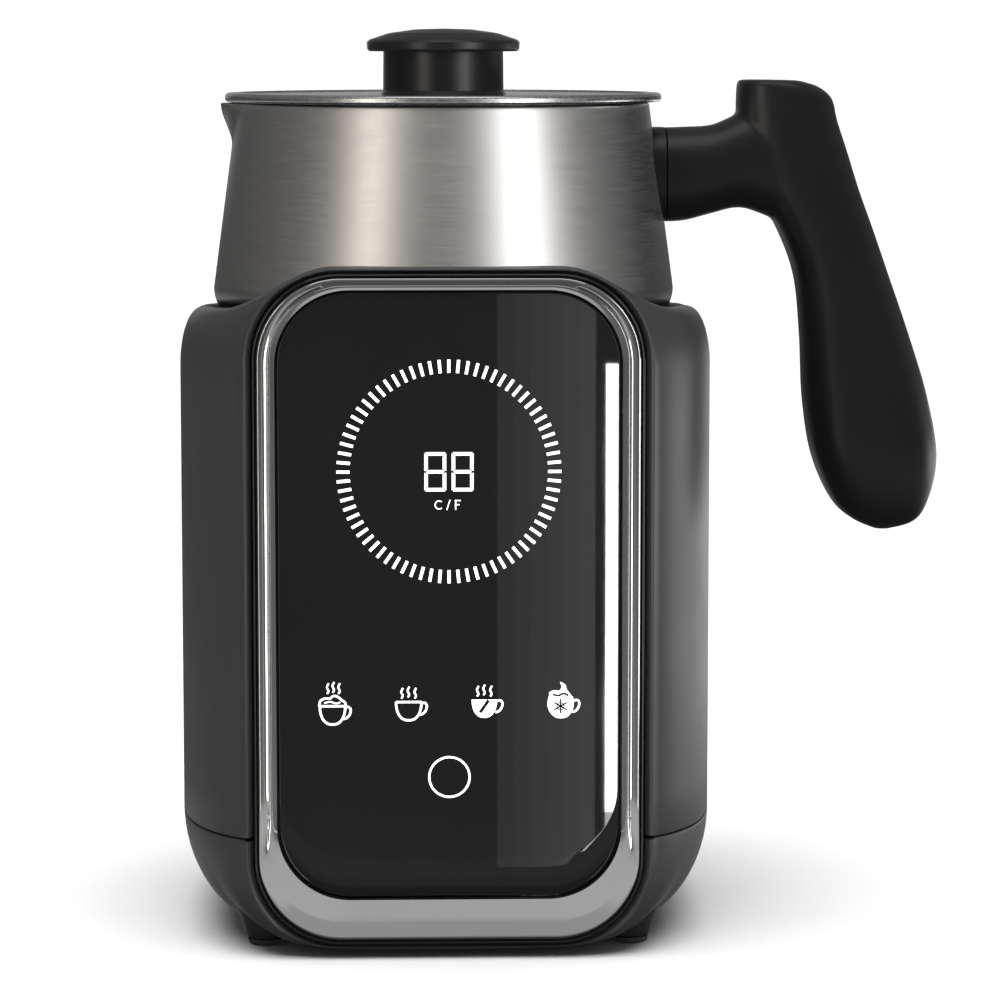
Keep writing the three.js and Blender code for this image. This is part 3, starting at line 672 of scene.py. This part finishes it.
def build_marks():
    ticks = []
    count, half_width = 72, 0.36
    inner_r, outer_r = 23.2, 26.3
    for k in range(count):
        a = 2 * math.pi * k / count
        out = Vector((math.sin(a), math.cos(a)))
        side = Vector((out.y, -out.x)) * half_width
        corners = [out * inner_r - side, out * outer_r - side, out * outer_r + side, out * inner_r + side]
        ticks.append(flat_mark([(c.x, DIAL_Z + c.y) for c in corners]))
    piece("dial_ticks", ticks, "base", "display_light")
    digits = []
    for cx in (-DIGIT_X, DIGIT_X):
        digits += eight(cx, DIAL_Z)
    piece("digits", digits, "base", "display_light")
    piece("power_key", [stroke(circle(0, KEY_Z, 4.75, 72), 0.5, True)], "base", "display_light")


def eight(cx, cz):
    """A seven-segment figure with all its bars lit."""
    half, tall, thick, gap = 2.55, 4.6, 0.8, 0.2
    bars = []
    for side in (1, -1):
        z = cz + side * tall
        bars.append([(cx - half + gap, z), (cx + half - gap, z), (cx + half - thick, z - side * thick),
                     (cx - half + thick, z - side * thick)])
        for edge in (1, -1):
            outer = cx + edge * half
            inner = outer - edge * thick
            bars.append([(outer, cz + side * gap), (inner, cz + side * (gap + thick * 0.5)),
                         (inner, cz + side * (tall - thick - gap)), (outer, cz + side * (tall - gap))])
    x0, x1, rise = cx - half + gap * 2, cx + half - gap * 2, thick / 2
    bars.append([(x0, cz), (x0 + rise, cz + rise), (x1 - rise, cz + rise), (x1, cz),
                 (x1 - rise, cz - rise), (x0 + rise, cz - rise)])
    return [flat_mark(bar) for bar in bars]


def smooth_line(line, steps=6):
    return [(p.x, p.y) for p in through(line, steps * (len(line) - 1))]


def moved(line, dx, dz):
    return [(p[0] + dx, p[1] + dz) for p in line]


UNIT_Z = 108.3
ICON_Z = 61.3
CUP = [(-3.65, 0.35), (-3.5, -1.2), (-2.9, -2.8), (-1.9, -3.75), (-0.7, -4.0), (0.6, -3.75), (1.6, -2.8),
       (2.2, -1.2), (2.35, 0.35)]
CUP_HANDLE = [(2.35, 0.0), (3.1, 0.15), (3.6, -0.45), (3.35, -1.7), (2.6, -2.5), (1.95, -2.7)]
STEAM = [(0.0, 0.0), (0.32, 0.65), (-0.05, 1.5), (0.35, 2.5)]
FOAM = [(-3.8, -0.6), (-3.5, 0.7), (-2.4, 1.3), (-1.3, 1.25), (-0.4, 1.9), (0.7, 1.6), (1.5, 0.9), (2.3, 0.3),
        (2.5, -0.6)]
CREAM = [(-3.3, 1.3), (-3.2, 2.5), (-2.0, 3.0), (-0.9, 2.9), (-0.4, 3.9), (-0.7, 4.9), (0.5, 4.3), (0.9, 3.1),
         (1.6, 2.2), (2.3, 1.2)]


def steam(cx, z, spots=(-2.35, -0.85, 0.75)):
    return [stroke(smooth_line(moved(STEAM, cx + dx, z + (0.3 if i == 1 else 0))), 0.42)
            for i, dx in enumerate(spots)]


def cup(cx, z, filled=False):
    line = smooth_line(moved(CUP, cx, z))
    handle = stroke(smooth_line(moved(CUP_HANDLE, cx, z)), 0.5)
    if filled:
        return [flat_mark(line), handle]
    return [stroke(line, 0.52), stroke([line[0], line[-1]], 0.52), handle]


ICON_X = (-26.8, -8.9, 8.9, 26.8)
FOAM_FOLD = [(-2.6, 0.2), (-1.2, 0.5), (0.2, 0.1), (1.2, 0.4)]
MUG = [(-3.4, 1.5), (-3.7, -0.4), (-3.1, -2.2), (-1.9, -3.4), (-0.5, -3.7), (0.9, -3.4), (2.0, -2.2),
       (2.5, -0.4), (2.3, 1.5)]
CREAM_FOLD = [(-2.4, 2.0), (-1.2, 1.7), (0.1, 2.2), (1.3, 1.7)]
CHOCOLATE_BAR = [(-1.0, -2.5), (-1.7, -2.2), (0.3, 0.8), (1.0, 0.4)]


def placed(line, dx, dz=0.0):
    return smooth_line(moved(line, dx, ICON_Z + dz))


def raised(parts):
    """The same marks a little further forward, to lie over the lit ones."""
    return [([(x, y - 0.03, z) for x, y, z in points], faces) for points, faces in parts]


def snowflake(cx, cz):
    arms = []
    for k in range(3):
        a = math.pi / 3 * k + math.pi / 6
        dx, dz = 1.75 * math.cos(a), 1.75 * math.sin(a)
        arms.append(stroke([(cx - dx, cz - dz), (cx + dx, cz + dz)], 0.38))
    return arms + [stroke(circle(cx, cz, 0.9, 6), 0.3, True)]


def build_icons():
    foam_x, warm_x, chocolate_x, cold_x = ICON_X
    foamy = cup(foam_x, ICON_Z - 0.9)
    foamy += [stroke(placed(FOAM, foam_x), 0.5), stroke(placed(FOAM_FOLD, foam_x), 0.35)]
    foamy += steam(foam_x, ICON_Z + 2.4, (-1.9, -0.6, 0.75))
    piece("icon_foam", foamy, "base", "display_light")
    piece("icon_warm", cup(warm_x, ICON_Z) + steam(warm_x, ICON_Z + 1.2), "base", "display_light")
    chocolate = cup(chocolate_x, ICON_Z + 0.5, True) + steam(chocolate_x, ICON_Z + 1.6)
    piece("icon_chocolate", chocolate, "base", "display_light")
    handle = stroke(placed(CUP_HANDLE, cold_x + 0.2, 0.5), 0.5)
    cold = [flat_mark(placed(MUG, cold_x)), flat_mark(placed(CREAM, cold_x)), handle]
    piece("icon_cold", cold, "base", "display_light")

    dark = [flat_mark(moved(CHOCOLATE_BAR, chocolate_x - 0.3, ICON_Z + 0.1))]
    dark += snowflake(cold_x - 0.6, ICON_Z - 0.8)
    dark.append(stroke(placed(CREAM_FOLD, cold_x), 0.5))
    piece("icon_shades", raised(dark), "base", "panel_glass")
    build_unit_letters()


def build_unit_letters():
    """A small C, a slash and an F under the figures."""
    letters = [stroke(circle(-2.3, UNIT_Z, 0.95, 14, 50, 260), 0.26)]
    for line, width in (([(-0.55, 107.1), (0.25, 109.5)], 0.24), ([(1.55, 107.15), (1.55, 109.45)], 0.28),
                        ([(1.43, 109.32), (2.75, 109.32)], 0.26), ([(1.43, 108.35), (2.5, 108.35)], 0.26)):
        letters.append(stroke(line, width))
    piece("unit_letters", letters, "base", "display_light")


# ---- jug ----
def jug_line(inset):
    """The jug's wall from its floor to its rim, as radius and height."""
    belly_round = 9.5
    corner = 5.0
    centre = JUG_BELLY_R - belly_round
    base = JUG_BOTTOM + (2.0 if inset else 0.0)
    line = [(0.0, base), (20.0, base), (40.0, base)]
    for k in range(7):
        a = -math.pi / 2 * (1 - k / 6)
        line.append((JUG_NECK_R - corner + (corner - inset) * math.cos(a),
                     base + (corner - inset) * (1 + math.sin(a))))
    turn_out = math.acos((JUG_NECK_R - centre) / belly_round)
    line += [(JUG_NECK_R - inset, z) for z in (100, 115, 130, 140)]
    for k in range(13):
        a = -turn_out * (1 - k / 12)
        line.append((centre + (belly_round - inset) * math.cos(a),
                     JUG_BELLY_Z + (belly_round - inset) * math.sin(a)))
    steps = 34
    for k in range(1, steps + 1):
        t = k / steps
        line.append((mix(JUG_BELLY_R, JUG_RIM_R, t) - inset, mix(JUG_BELLY_Z, JUG_RIM_Z - 0.45, t)))
    return line


def build_jug():
    rim = [(JUG_RIM_R - 0.12, JUG_RIM_Z - 0.14), (JUG_RIM_R - 0.45, JUG_RIM_Z),
           (JUG_RIM_R - 0.75, JUG_RIM_Z), (JUG_RIM_R - 1.08, JUG_RIM_Z - 0.14)]
    line = jug_line(0.0) + rim + jug_line(JUG_WALL)[::-1]
    segments = 192
    loops = []
    for r, z in line:
        loop = []
        for i in range(segments):
            a = 2 * math.pi * i / segments
            from_spout = abs(a - math.pi) / SPOUT_HALF_ANGLE
            lip = 0.0
            if r > 45 and z > SPOUT_START and from_spout < 1:
                rise = smoothstep(z, SPOUT_START, SPOUT_END) ** 0.9
                lip = SPOUT_REACH * rise * (1 - from_spout) ** 1.25
            reach = max(r, 0.02) + lip
            loop.append((reach * math.cos(a), reach * math.sin(a), z))
        loops.append(loop)
    piece("jug", [loft(loops)], "jug", "jug_steel", ["jug_shell"], sharp=50)


# The grip's sections: x and z of the inner edge, x and z of the outer edge, and half the depth.
GRIP_LEVELS = [
    (73.4, 206.4, 88.5, 206.2, 9.8),
    (73.2, 205.6, 93.5, 204.6, 10.6),
    (73.1, 204.5, 96.6, 202.0, 10.9),
    (73.0, 199.0, 98.1, 196.5, 11.4),
    (74.0, 190.0, 100.6, 189.0, 11.8),
    (77.5, 180.0, 103.8, 179.0, 12.0),
    (83.6, 168.8, 107.6, 168.6, 12.0),
    (87.6, 158.0, 111.5, 157.5, 12.0),
    (89.3, 143.0, 116.6, 143.0, 12.4),
    (90.2, 126.0, 121.8, 126.0, 13.0),
    (92.9, 111.2, 124.1, 111.0, 13.0),
    (98.4, 100.0, 121.3, 99.3, 10.8),
    (103.0, 96.2, 118.4, 95.7, 8.0),
    (108.5, 93.7, 112.5, 93.7, 3.0),
]


def through(levels, steps):
    """Points on a centripetal curve through the levels, each a tuple of numbers."""
    vectors = [Vector(level) for level in levels]
    first = vectors[0] * 2 - vectors[1]
    last = vectors[-1] * 2 - vectors[-2]
    full = [first] + vectors + [last]
    out = []
    spans = len(vectors) - 1
    for k in range(steps + 1):
        u = k / steps * spans
        i = min(int(u), spans - 1)
        p0, p1, p2, p3 = full[i:i + 4]
        t0 = 0.0
        t1 = t0 + max((p1 - p0).length, 1e-4) ** 0.5
        t2 = t1 + max((p2 - p1).length, 1e-4) ** 0.5
        t3 = t2 + max((p3 - p2).length, 1e-4) ** 0.5
        t = mix(t1, t2, u - i)
        a1 = p0 * ((t1 - t) / (t1 - t0)) + p1 * ((t - t0) / (t1 - t0))
        a2 = p1 * ((t2 - t) / (t2 - t1)) + p2 * ((t - t1) / (t2 - t1))
        a3 = p2 * ((t3 - t) / (t3 - t2)) + p3 * ((t - t2) / (t3 - t2))
        b1 = a1 * ((t2 - t) / (t2 - t0)) + a2 * ((t - t0) / (t2 - t0))
        b2 = a2 * ((t3 - t) / (t3 - t1)) + a3 * ((t - t1) / (t3 - t1))
        out.append(b1 * ((t2 - t) / (t2 - t1)) + b2 * ((t - t1) / (t2 - t1)))
    return out


def oval(centre, across, depth, power=2.6, sides=72):
    """A soft-cornered loop in the plane of Y and the across vector in X and Z."""
    loop = []
    for i in range(sides):
        a = 2 * math.pi * i / sides
        c, s = math.cos(a), math.sin(a)
        u = math.copysign(abs(c) ** (2 / power), c)
        v = math.copysign(abs(s) ** (2 / power), s)
        loop.append((centre[0] + across[0] * u, v * depth, centre[1] + across[1] * u))
    return loop


# The arm's sections: x, the heights of its underside and its top, and half the depth.
ARM_STATIONS = [(53.0, 171.0, 194.5, 11.8), (60.0, 171.4, 194.7, 11.6), (67.0, 173.2, 195.2, 11.4),
                (74.0, 174.6, 198.0, 11.2), (82.0, 172.0, 199.0, 11.0)]


def build_handle():
    grip = []
    for a_x, a_z, b_x, b_z, depth in through(GRIP_LEVELS, 90):
        b_x = min(b_x, HANDLE_REACH)
        centre = ((a_x + b_x) / 2, (a_z + b_z) / 2)
        across = ((b_x - a_x) / 2, (b_z - a_z) / 2)
        grip.append(oval(centre, across, max(depth, 0.3)))
    arm = []
    for x, low_z, high_z, depth in through(ARM_STATIONS, 24):
        arm.append(oval((x, (low_z + high_z) / 2), (0, (high_z - low_z) / 2), depth))
    handle = bare("handle", [loft(grip), loft(arm)])
    remesh = handle.modifiers.new("remesh", "REMESH")
    remesh.mode = "VOXEL"
    remesh.voxel_size = 0.0007
    soften = handle.modifiers.new("soften", "SMOOTH")
    soften.factor = 0.5
    soften.iterations = 10
    applied(handle)
    made = bmesh.new()
    made.from_mesh(handle.data)
    cut_at = at(COLLAR_END + 0.25, 0, 0)
    bmesh.ops.bisect_plane(made, geom=made.verts[:] + made.edges[:] + made.faces[:], plane_co=cut_at,
                           plane_no=(1, 0, 0), clear_inner=True)
    bmesh.ops.holes_fill(made, edges=[e for e in made.edges if e.is_boundary], sides=0)
    made.to_mesh(handle.data)
    made.free()
    settle(handle.data, 40)
    show(handle, "jug", "handle_plastic", ["handle_grip"])
    build_collar()


def on_jug(loop):
    """The loop moved along X to lie just under the jug's cone."""
    slope = (JUG_BELLY_R - JUG_RIM_R) / (JUG_RIM_Z - JUG_BELLY_Z)
    moved_in = []
    for _, y, z in loop:
        r = JUG_RIM_R + (JUG_RIM_Z - z) * slope - 0.3
        moved_in.append((math.sqrt(r * r - y * y), y, z))
    return moved_in


def build_collar():
    middle, half = (ARM_TOP + ARM_BOTTOM) / 2, (ARM_TOP - ARM_BOTTOM) / 2
    collar = [on_jug(oval((50, middle), (0, half + 0.15), 12.0))]
    for back, taller, depth in ((0.5, 0.15, 12.0), (0.12, 0.1, 11.95), (0, -0.1, 11.75)):
        collar.append(oval((COLLAR_END - back, middle), (0, half + taller), depth))
    piece("collar", [loft(collar)], "jug", "handle_plastic", ["handle_collar"])


def build_lid():
    lid = [(0, LID_BOTTOM), (LID_R, LID_BOTTOM, 0.7), (LID_R, LID_TOP, 0.9), (LID_R - 2.6, LID_TOP, 0.6),
           (LID_R - 3.1, LID_TOP - 0.5, 0.5), (0, LID_TOP - 0.5)]
    piece("lid", [turned(lid, 192)], "lid", "lid_steel", ["lid_disc"])
    post = [(0, LID_TOP - 0.5), (15.6, LID_TOP - 0.5), (15.0, LID_TOP + 0.6, 0.5),
            (14.9, POST_TOP), (0, POST_TOP)]
    piece("knob_stem", [turned(post, 96)], "lid", "knob_plastic", ["knob_post"])
    cap = [(0, 213.4), (18.3, 213.4, 0.4), (18.9, 213.9, 0.5), (19.0, 215.7, 0.6), (18.3, 216.3, 0.5),
           (13.5, 217.9, 9), (7, 218.8, 10), (0, 219.0)]
    piece("knob_top", [turned(cap, 128, steps=8)], "lid", "knob_plastic", ["knob_cap"])


def build_well():
    well = [(0, 78), (54.6, 78), (54.6, 135, 4), (59.5, 143, 1), (59.5, 146.8, 0.4), (57.8, 146.8, 0.5),
            (52.6, 137.5, 4), (52.6, 80, 1.5), (0, 80)]
    made = bare("well", [turned(well, 160)])
    carve(made, [turned([(0, 70), (5.6, 70), (5.6, 90), (0, 90)], 48, (31, 0))])
    show(made, "base", "black_plastic", ["jug_well"])
    seat = [(38, 80.3, 0.4), (45, 80.3, 0.4), (45, 83.7, 1.0), (38, 83.7, 1.0)]
    piece("seat", [turned(seat, 128)], "base", "seal_silicone", ["seat_ring"])
    gasket = [(44, 196.4, 0.5), (48.6, 196.4, 1.5), (48.6, 198.2, 0.6), (47.6, 199, 0.4), (48.6, 199.8, 0.5),
              (48.6, 200.7, 0.2), (44, 200.7, 0.2)]
    piece("lid_seal", [turned(gasket, 128)], "lid", "seal_silicone", ["lid_gasket"])
    gland = [(2.6, 50), (5.6, 50, 0.4), (5.6, 53, 0.4), (4.3, 53.4, 0.3), (4.3, 64, 0.3), (4.0, 64.4, 0.2),
             (4.0, 65.2, 0.2), (4.3, 65.6, 0.3), (4.1, 67, 0.6), (2.6, 67, 0.3)]
    piece("gland", [turned_along(gland, (0, 0, GLAND_Z))], "base", "rubber", ["cord_gland"])


def build_feet():
    foot_z = 1.6
    rounding = {foot_z: 0.35, 1.75: 0.1}
    angles = [2 * math.pi * i / 64 for i in range(64)]
    for end, (x, y) in (("front", (44, -52)), ("rear", (38, 42))):
        for side, sign in (("left", -1), ("right", 1)):
            cx = x * sign
            loops = []
            for z in (foot_z, 1.75, 2.2, 5, 9, 13, 17):
                t = (z - foot_z) / (17 - foot_z)
                r = mix(4.6, 8, t) - rounding.get(z, 0)
                mx, my = cx + sign * 1.6 * t, y + math.copysign(1, y) * t
                loops.append([(mx + r * math.cos(a), my + r * math.sin(a), z) for a in angles])
            piece(f"leg_{end}_{side}", [loft(loops)], "base", "black_plastic", [f"foot_{end}_{side}"])
            pad = [(0, 0), (4.1, 0, 0.5), (4.3, 1.3, 0.2), (0, 1.3)]
            piece(f"pad_{end}_{side}", [turned(pad, 64, (cx, y))], "base", "rubber",
                  [f"foot_pad_{end}_{side}"])


def build_spring():
    """The sensor's spring as a coil of wire in the CAD spring's box; the real spring closes up as the cap is
    pressed down onto its holder, but this coil keeps its shape.
    """
    low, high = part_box("sensor_spring")
    cx = ((low.x + high.x) / 2 - AXIS_X) * 1000
    cy = ((low.y + high.y) / 2 - AXIS_Y) * 1000
    wire = 0.28
    reach = (high.x - low.x) / 2 * 1000 - wire
    z0, z1 = low.z * 1000 + wire, high.z * 1000 - wire
    turns, steps, sides = 4, 24, 10
    loops = []
    for k in range(turns * steps + 1):
        t = k / (turns * steps)
        a = 2 * math.pi * turns * t
        centre = Vector((cx + reach * math.cos(a), cy + reach * math.sin(a), mix(z0, z1, t)))
        out = Vector((math.cos(a), math.sin(a), 0))
        up = Vector((0, 0, 1))
        loop = []
        for i in range(sides):
            b = 2 * math.pi * i / sides
            point = centre + out * (wire * math.cos(b)) + up * (wire * math.sin(b))
            loop.append(tuple(point))
        loops.append(loop)
    coil = piece("sensor_coil", [loft(loops)], "base", "screw_steel", ["sensor_spring"])
    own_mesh(coil)


def build_whisk():
    disc = bare("whisk_disc", [turned([(6.4, 94.8, 0.3), (20, 94.8, 0.3), (20, 96.4, 0.3), (8.4, 96.4, 0.6),
                                       (8.4, 99, 0.4), (6.4, 99, 0.4)], 96)])
    holes = []
    hole = [(0, 90), (3.4, 90), (3.4, 100), (0, 100)]
    for k in range(6):
        a = math.pi / 3 * k
        holes.append(turned(hole, 32, (13 * math.cos(a), 13 * math.sin(a))))
    carve(disc, holes)
    show(disc, "stirrer", "screw_steel")
    turns, steps, wire = 64, 12, 0.35
    ring_r, coil_r, ring_z = 20, 1.85, 97
    along_rate, wind_rate = 1.96, 11.6  # how fast the wire moves along the ring and round its own turn
    loops = []
    for k in range(turns * steps):
        around = 2 * math.pi * k / (turns * steps)
        wind = 2 * math.pi * k / steps
        out = Vector((math.cos(around), math.sin(around), 0))
        up = Vector((0, 0, 1))
        centre = out * (ring_r + coil_r * math.cos(wind)) + up * (ring_z + coil_r * math.sin(wind))
        radial = out * math.cos(wind) + up * math.sin(wind)
        along = Vector((-math.sin(around), math.cos(around), 0))
        tangent = (along * along_rate + (up * math.cos(wind) - out * math.sin(wind)) * wind_rate).normalized()
        side = tangent.cross(radial).normalized()
        loops.append([tuple(centre + radial * wire * math.cos(b) + side * wire * math.sin(b))
                      for b in [math.pi / 3 * i for i in range(6)]])
    piece("whisk_coil", [loft(loops, ring=True)], "stirrer", "screw_steel", ["whisk"], sharp=80)


def dress_frame():
    """The CAD nodes that stay get the same finishes as the rest."""
    for row in frame["record"]["subparts"]:
        shown = frame["nodes"][row["node"]]
        if shown.hide_render:
            continue
        for slot in shown.material_slots:
            slot.material = LOOKS[row["material_slot"]]


# ---- studio ----
def area_light(name, place, target, size, power, color=(1, 1, 1), diffuse=True):
    lamp = bpy.data.lights.new(name, "AREA")
    lamp.shape = "RECTANGLE"
    lamp.size, lamp.size_y = size
    lamp.energy = power
    lamp.color = color
    made = bpy.data.objects.new(name, lamp)
    made.location = place
    made.rotation_euler = (Vector(target) - Vector(place)).to_track_quat("-Z", "Y").to_euler()
    made.visible_camera = False
    made.visible_diffuse = diffuse
    bpy.context.scene.collection.objects.link(made)
    return made


def panel_light(name, x_range, z_range, y, radiance):
    """An upright lamp facing the object that only gloss sees; radiance is how bright it looks."""
    width, height = x_range[1] - x_range[0], z_range[1] - z_range[0]
    centre = at((x_range[0] + x_range[1]) / 2, y, (z_range[0] + z_range[1]) / 2)
    power = radiance * math.pi * width * height / 1e6
    ahead = (centre[0], centre[1] + 1, centre[2])
    return area_light(name, centre, ahead, (width / 1000, height / 1000), power, diffuse=False)


WORLD_BELOW, WORLD_ABOVE = -0.6, 0.2
# How bright the studio looks to the object, by the upward share of the direction.
WORLD_STOPS = ((-0.5, 0.04), (-0.42, 0.36), (-0.343, 0.37), (-0.333, 0.5), (-0.26, 0.48), (-0.215, 0.4),
               (-0.19, 0.16), (-0.1, 0.13), (-0.05, 0.08), (0.02, 0.08), (0.1, 0.12), (0.2, 0.17))


def build_world():
    """White to the camera, and dim with a lighter band below the horizon to everything else."""
    world = bpy.data.worlds.new("studio")
    bpy.context.scene.world = world
    world.use_nodes = True
    tree = world.node_tree
    tree.nodes.clear()
    link = tree.links.new
    out = node(tree, "ShaderNodeOutputWorld")
    seen = node(tree, "ShaderNodeBackground")
    seen.inputs["Color"].default_value = (1, 1, 1, 1)
    seen.inputs["Strength"].default_value = 1.05
    lit = node(tree, "ShaderNodeBackground")
    lit.inputs["Color"].default_value = (0.97, 0.98, 1.0, 1)
    height = node(tree, "ShaderNodeSeparateXYZ")
    link(node(tree, "ShaderNodeTexCoord").outputs["Generated"], height.inputs[0])
    share = spread(tree, height.outputs["Z"], 0, 1, WORLD_BELOW, WORLD_ABOVE)
    ramp = node(tree, "ShaderNodeValToRGB")
    link(share, ramp.inputs["Fac"])
    elements = ramp.color_ramp.elements
    elements.remove(elements[1])
    for i, (z, value) in enumerate(WORLD_STOPS):
        place = (z - WORLD_BELOW) / (WORLD_ABOVE - WORLD_BELOW)
        element = elements[0] if i == 0 else elements.new(place)
        element.position = place
        element.color = (value, value, value, 1)
    link(ramp.outputs["Color"], lit.inputs["Strength"])
    path = node(tree, "ShaderNodeLightPath")
    choose = node(tree, "ShaderNodeMixShader")
    link(path.outputs["Is Camera Ray"], choose.inputs["Fac"])
    link(lit.outputs[0], choose.inputs[1])
    link(seen.outputs[0], choose.inputs[2])
    link(choose.outputs[0], out.inputs["Surface"])


def build_floor():
    mesh = bpy.data.meshes.new("floor")
    size = 40.0
    corners = [(-size, -size, 0), (size, -size, 0), (size, size, 0), (-size, size, 0)]
    mesh.from_pydata(corners, [], [(0, 1, 2, 3)])
    floor = bpy.data.objects.new("floor", mesh)
    bpy.context.scene.collection.objects.link(floor)
    floor.location.z = -0.0002
    floor.data.materials.append(look("floor", (0.9, 0.9, 0.9), 0.7, grain=300, bump=0.01, vary=0.01))
    floor.visible_glossy = False


def receivers(name, pieces, link_state):
    """A group for a lamp: it leaves out the pieces, or it lights only them."""
    group = bpy.data.collections.new(name)
    for piece_name in pieces:
        group.objects.link(bpy.data.objects[piece_name])
    for member in group.collection_objects:
        member.light_linking.link_state = link_state
    return group


def build_lamps():
    top = bpy.data.lights.new("sky", "SUN")
    top.energy = 3.85
    top.angle = math.radians(64)
    sky = bpy.data.objects.new("sky", top)
    sky.rotation_euler = (math.radians(7), 0, 0)
    sky.visible_glossy = False
    bpy.context.scene.collection.objects.link(sky)

    off_floor = receivers("off_floor", ["floor"], "EXCLUDE")
    off_floor_and_handle = receivers("off_floor_and_handle", ["floor", "handle", "collar"], "EXCLUDE")
    off_floor_and_jug = receivers("off_floor_and_jug", ["floor", "jug"], "EXCLUDE")
    middle = at(20, -10, 100)
    side = at(65, 0, 10)
    warm = (1.0, 0.93, 0.84)
    right_box = area_light("right_box", at(800, -960, 260), middle, (0.36, 1.0), 6)
    left_box = area_light("left_box", at(-760, -960, 260), middle, (0.2, 1.0), 3.0, warm)
    side_box = area_light("side_box", at(700, 560, 0), side, (1.1, 0.22), 1.25)
    side_near = area_light("side_box_near", at(950, 190, 0), side, (0.5, 0.2), 0.6)
    area_light("top_box", at(0, -250, 1100), middle, (0.9, 0.7), 2.2)
    lid_card = area_light("lid_card", at(0, 900, 300), at(0, 0, 210), (0.9, 0.25), 0.3, diffuse=False)
    linked = ((right_box, off_floor_and_handle), (left_box, off_floor), (side_box, off_floor_and_jug),
              (side_near, off_floor_and_jug), (lid_card, off_floor))
    for lamp, group in linked:
        lamp.light_linking.receiver_collection = group


def build_panels():
    """Upright lamps linked to one piece each: a graded box and a strip for the glass, cards for the trim."""
    panel_y = -700
    box_left, box_right, parts = 30.1, 68.7, 6
    panels = []
    for k in range(parts):
        x_range = (mix(box_left, box_right, k / parts), mix(box_left, box_right, (k + 1) / parts))
        panels.append(panel_light(f"glass_box_{k}", x_range, (-150, 128), panel_y, 0.85 + 0.24 * k))
    strip_x = (72.8, 77.6)
    panels.append(panel_light("glass_strip", strip_x, (-89, 89), panel_y, 100))
    panels.append(panel_light("glass_strip_end", strip_x, (-125, -89), panel_y, 22))
    only_glass = receivers("only_glass", ["glass"], "INCLUDE")
    for panel in panels:
        panel.light_linking.receiver_collection = only_glass
    only_trim = receivers("only_trim", ["trim"], "INCLUDE")
    for name, x_range, radiance in (("left_card", (-76, -57), 0.5), ("right_card", (92, 110), 0.2)):
        card = panel_light(name, x_range, (-100, 150), panel_y, radiance)
        card.light_linking.receiver_collection = only_trim


def build_camera():
    camera = bpy.data.cameras.new("camera")
    camera.sensor_width = 36
    camera.lens = 144
    camera.clip_start = 0.05
    view = bpy.data.objects.new("camera", camera)
    view.location = at(-16.5, -1000, 218.6)
    tilt, turn = 6.70, 1.753
    view.rotation_euler = (math.radians(90 - tilt), 0, math.radians(-turn))
    bpy.context.scene.collection.objects.link(view)
    bpy.context.scene.camera = view


def build_studio():
    build_world()
    build_floor()
    build_lamps()
    build_panels()
    build_camera()
    bpy.context.scene.view_settings.view_transform = "Standard"


build_casing()
build_front()
build_marks()
build_icons()
build_jug()
build_handle()
build_lid()
build_well()
build_feet()
build_whisk()
build_spring()
dress_frame()
build_studio()
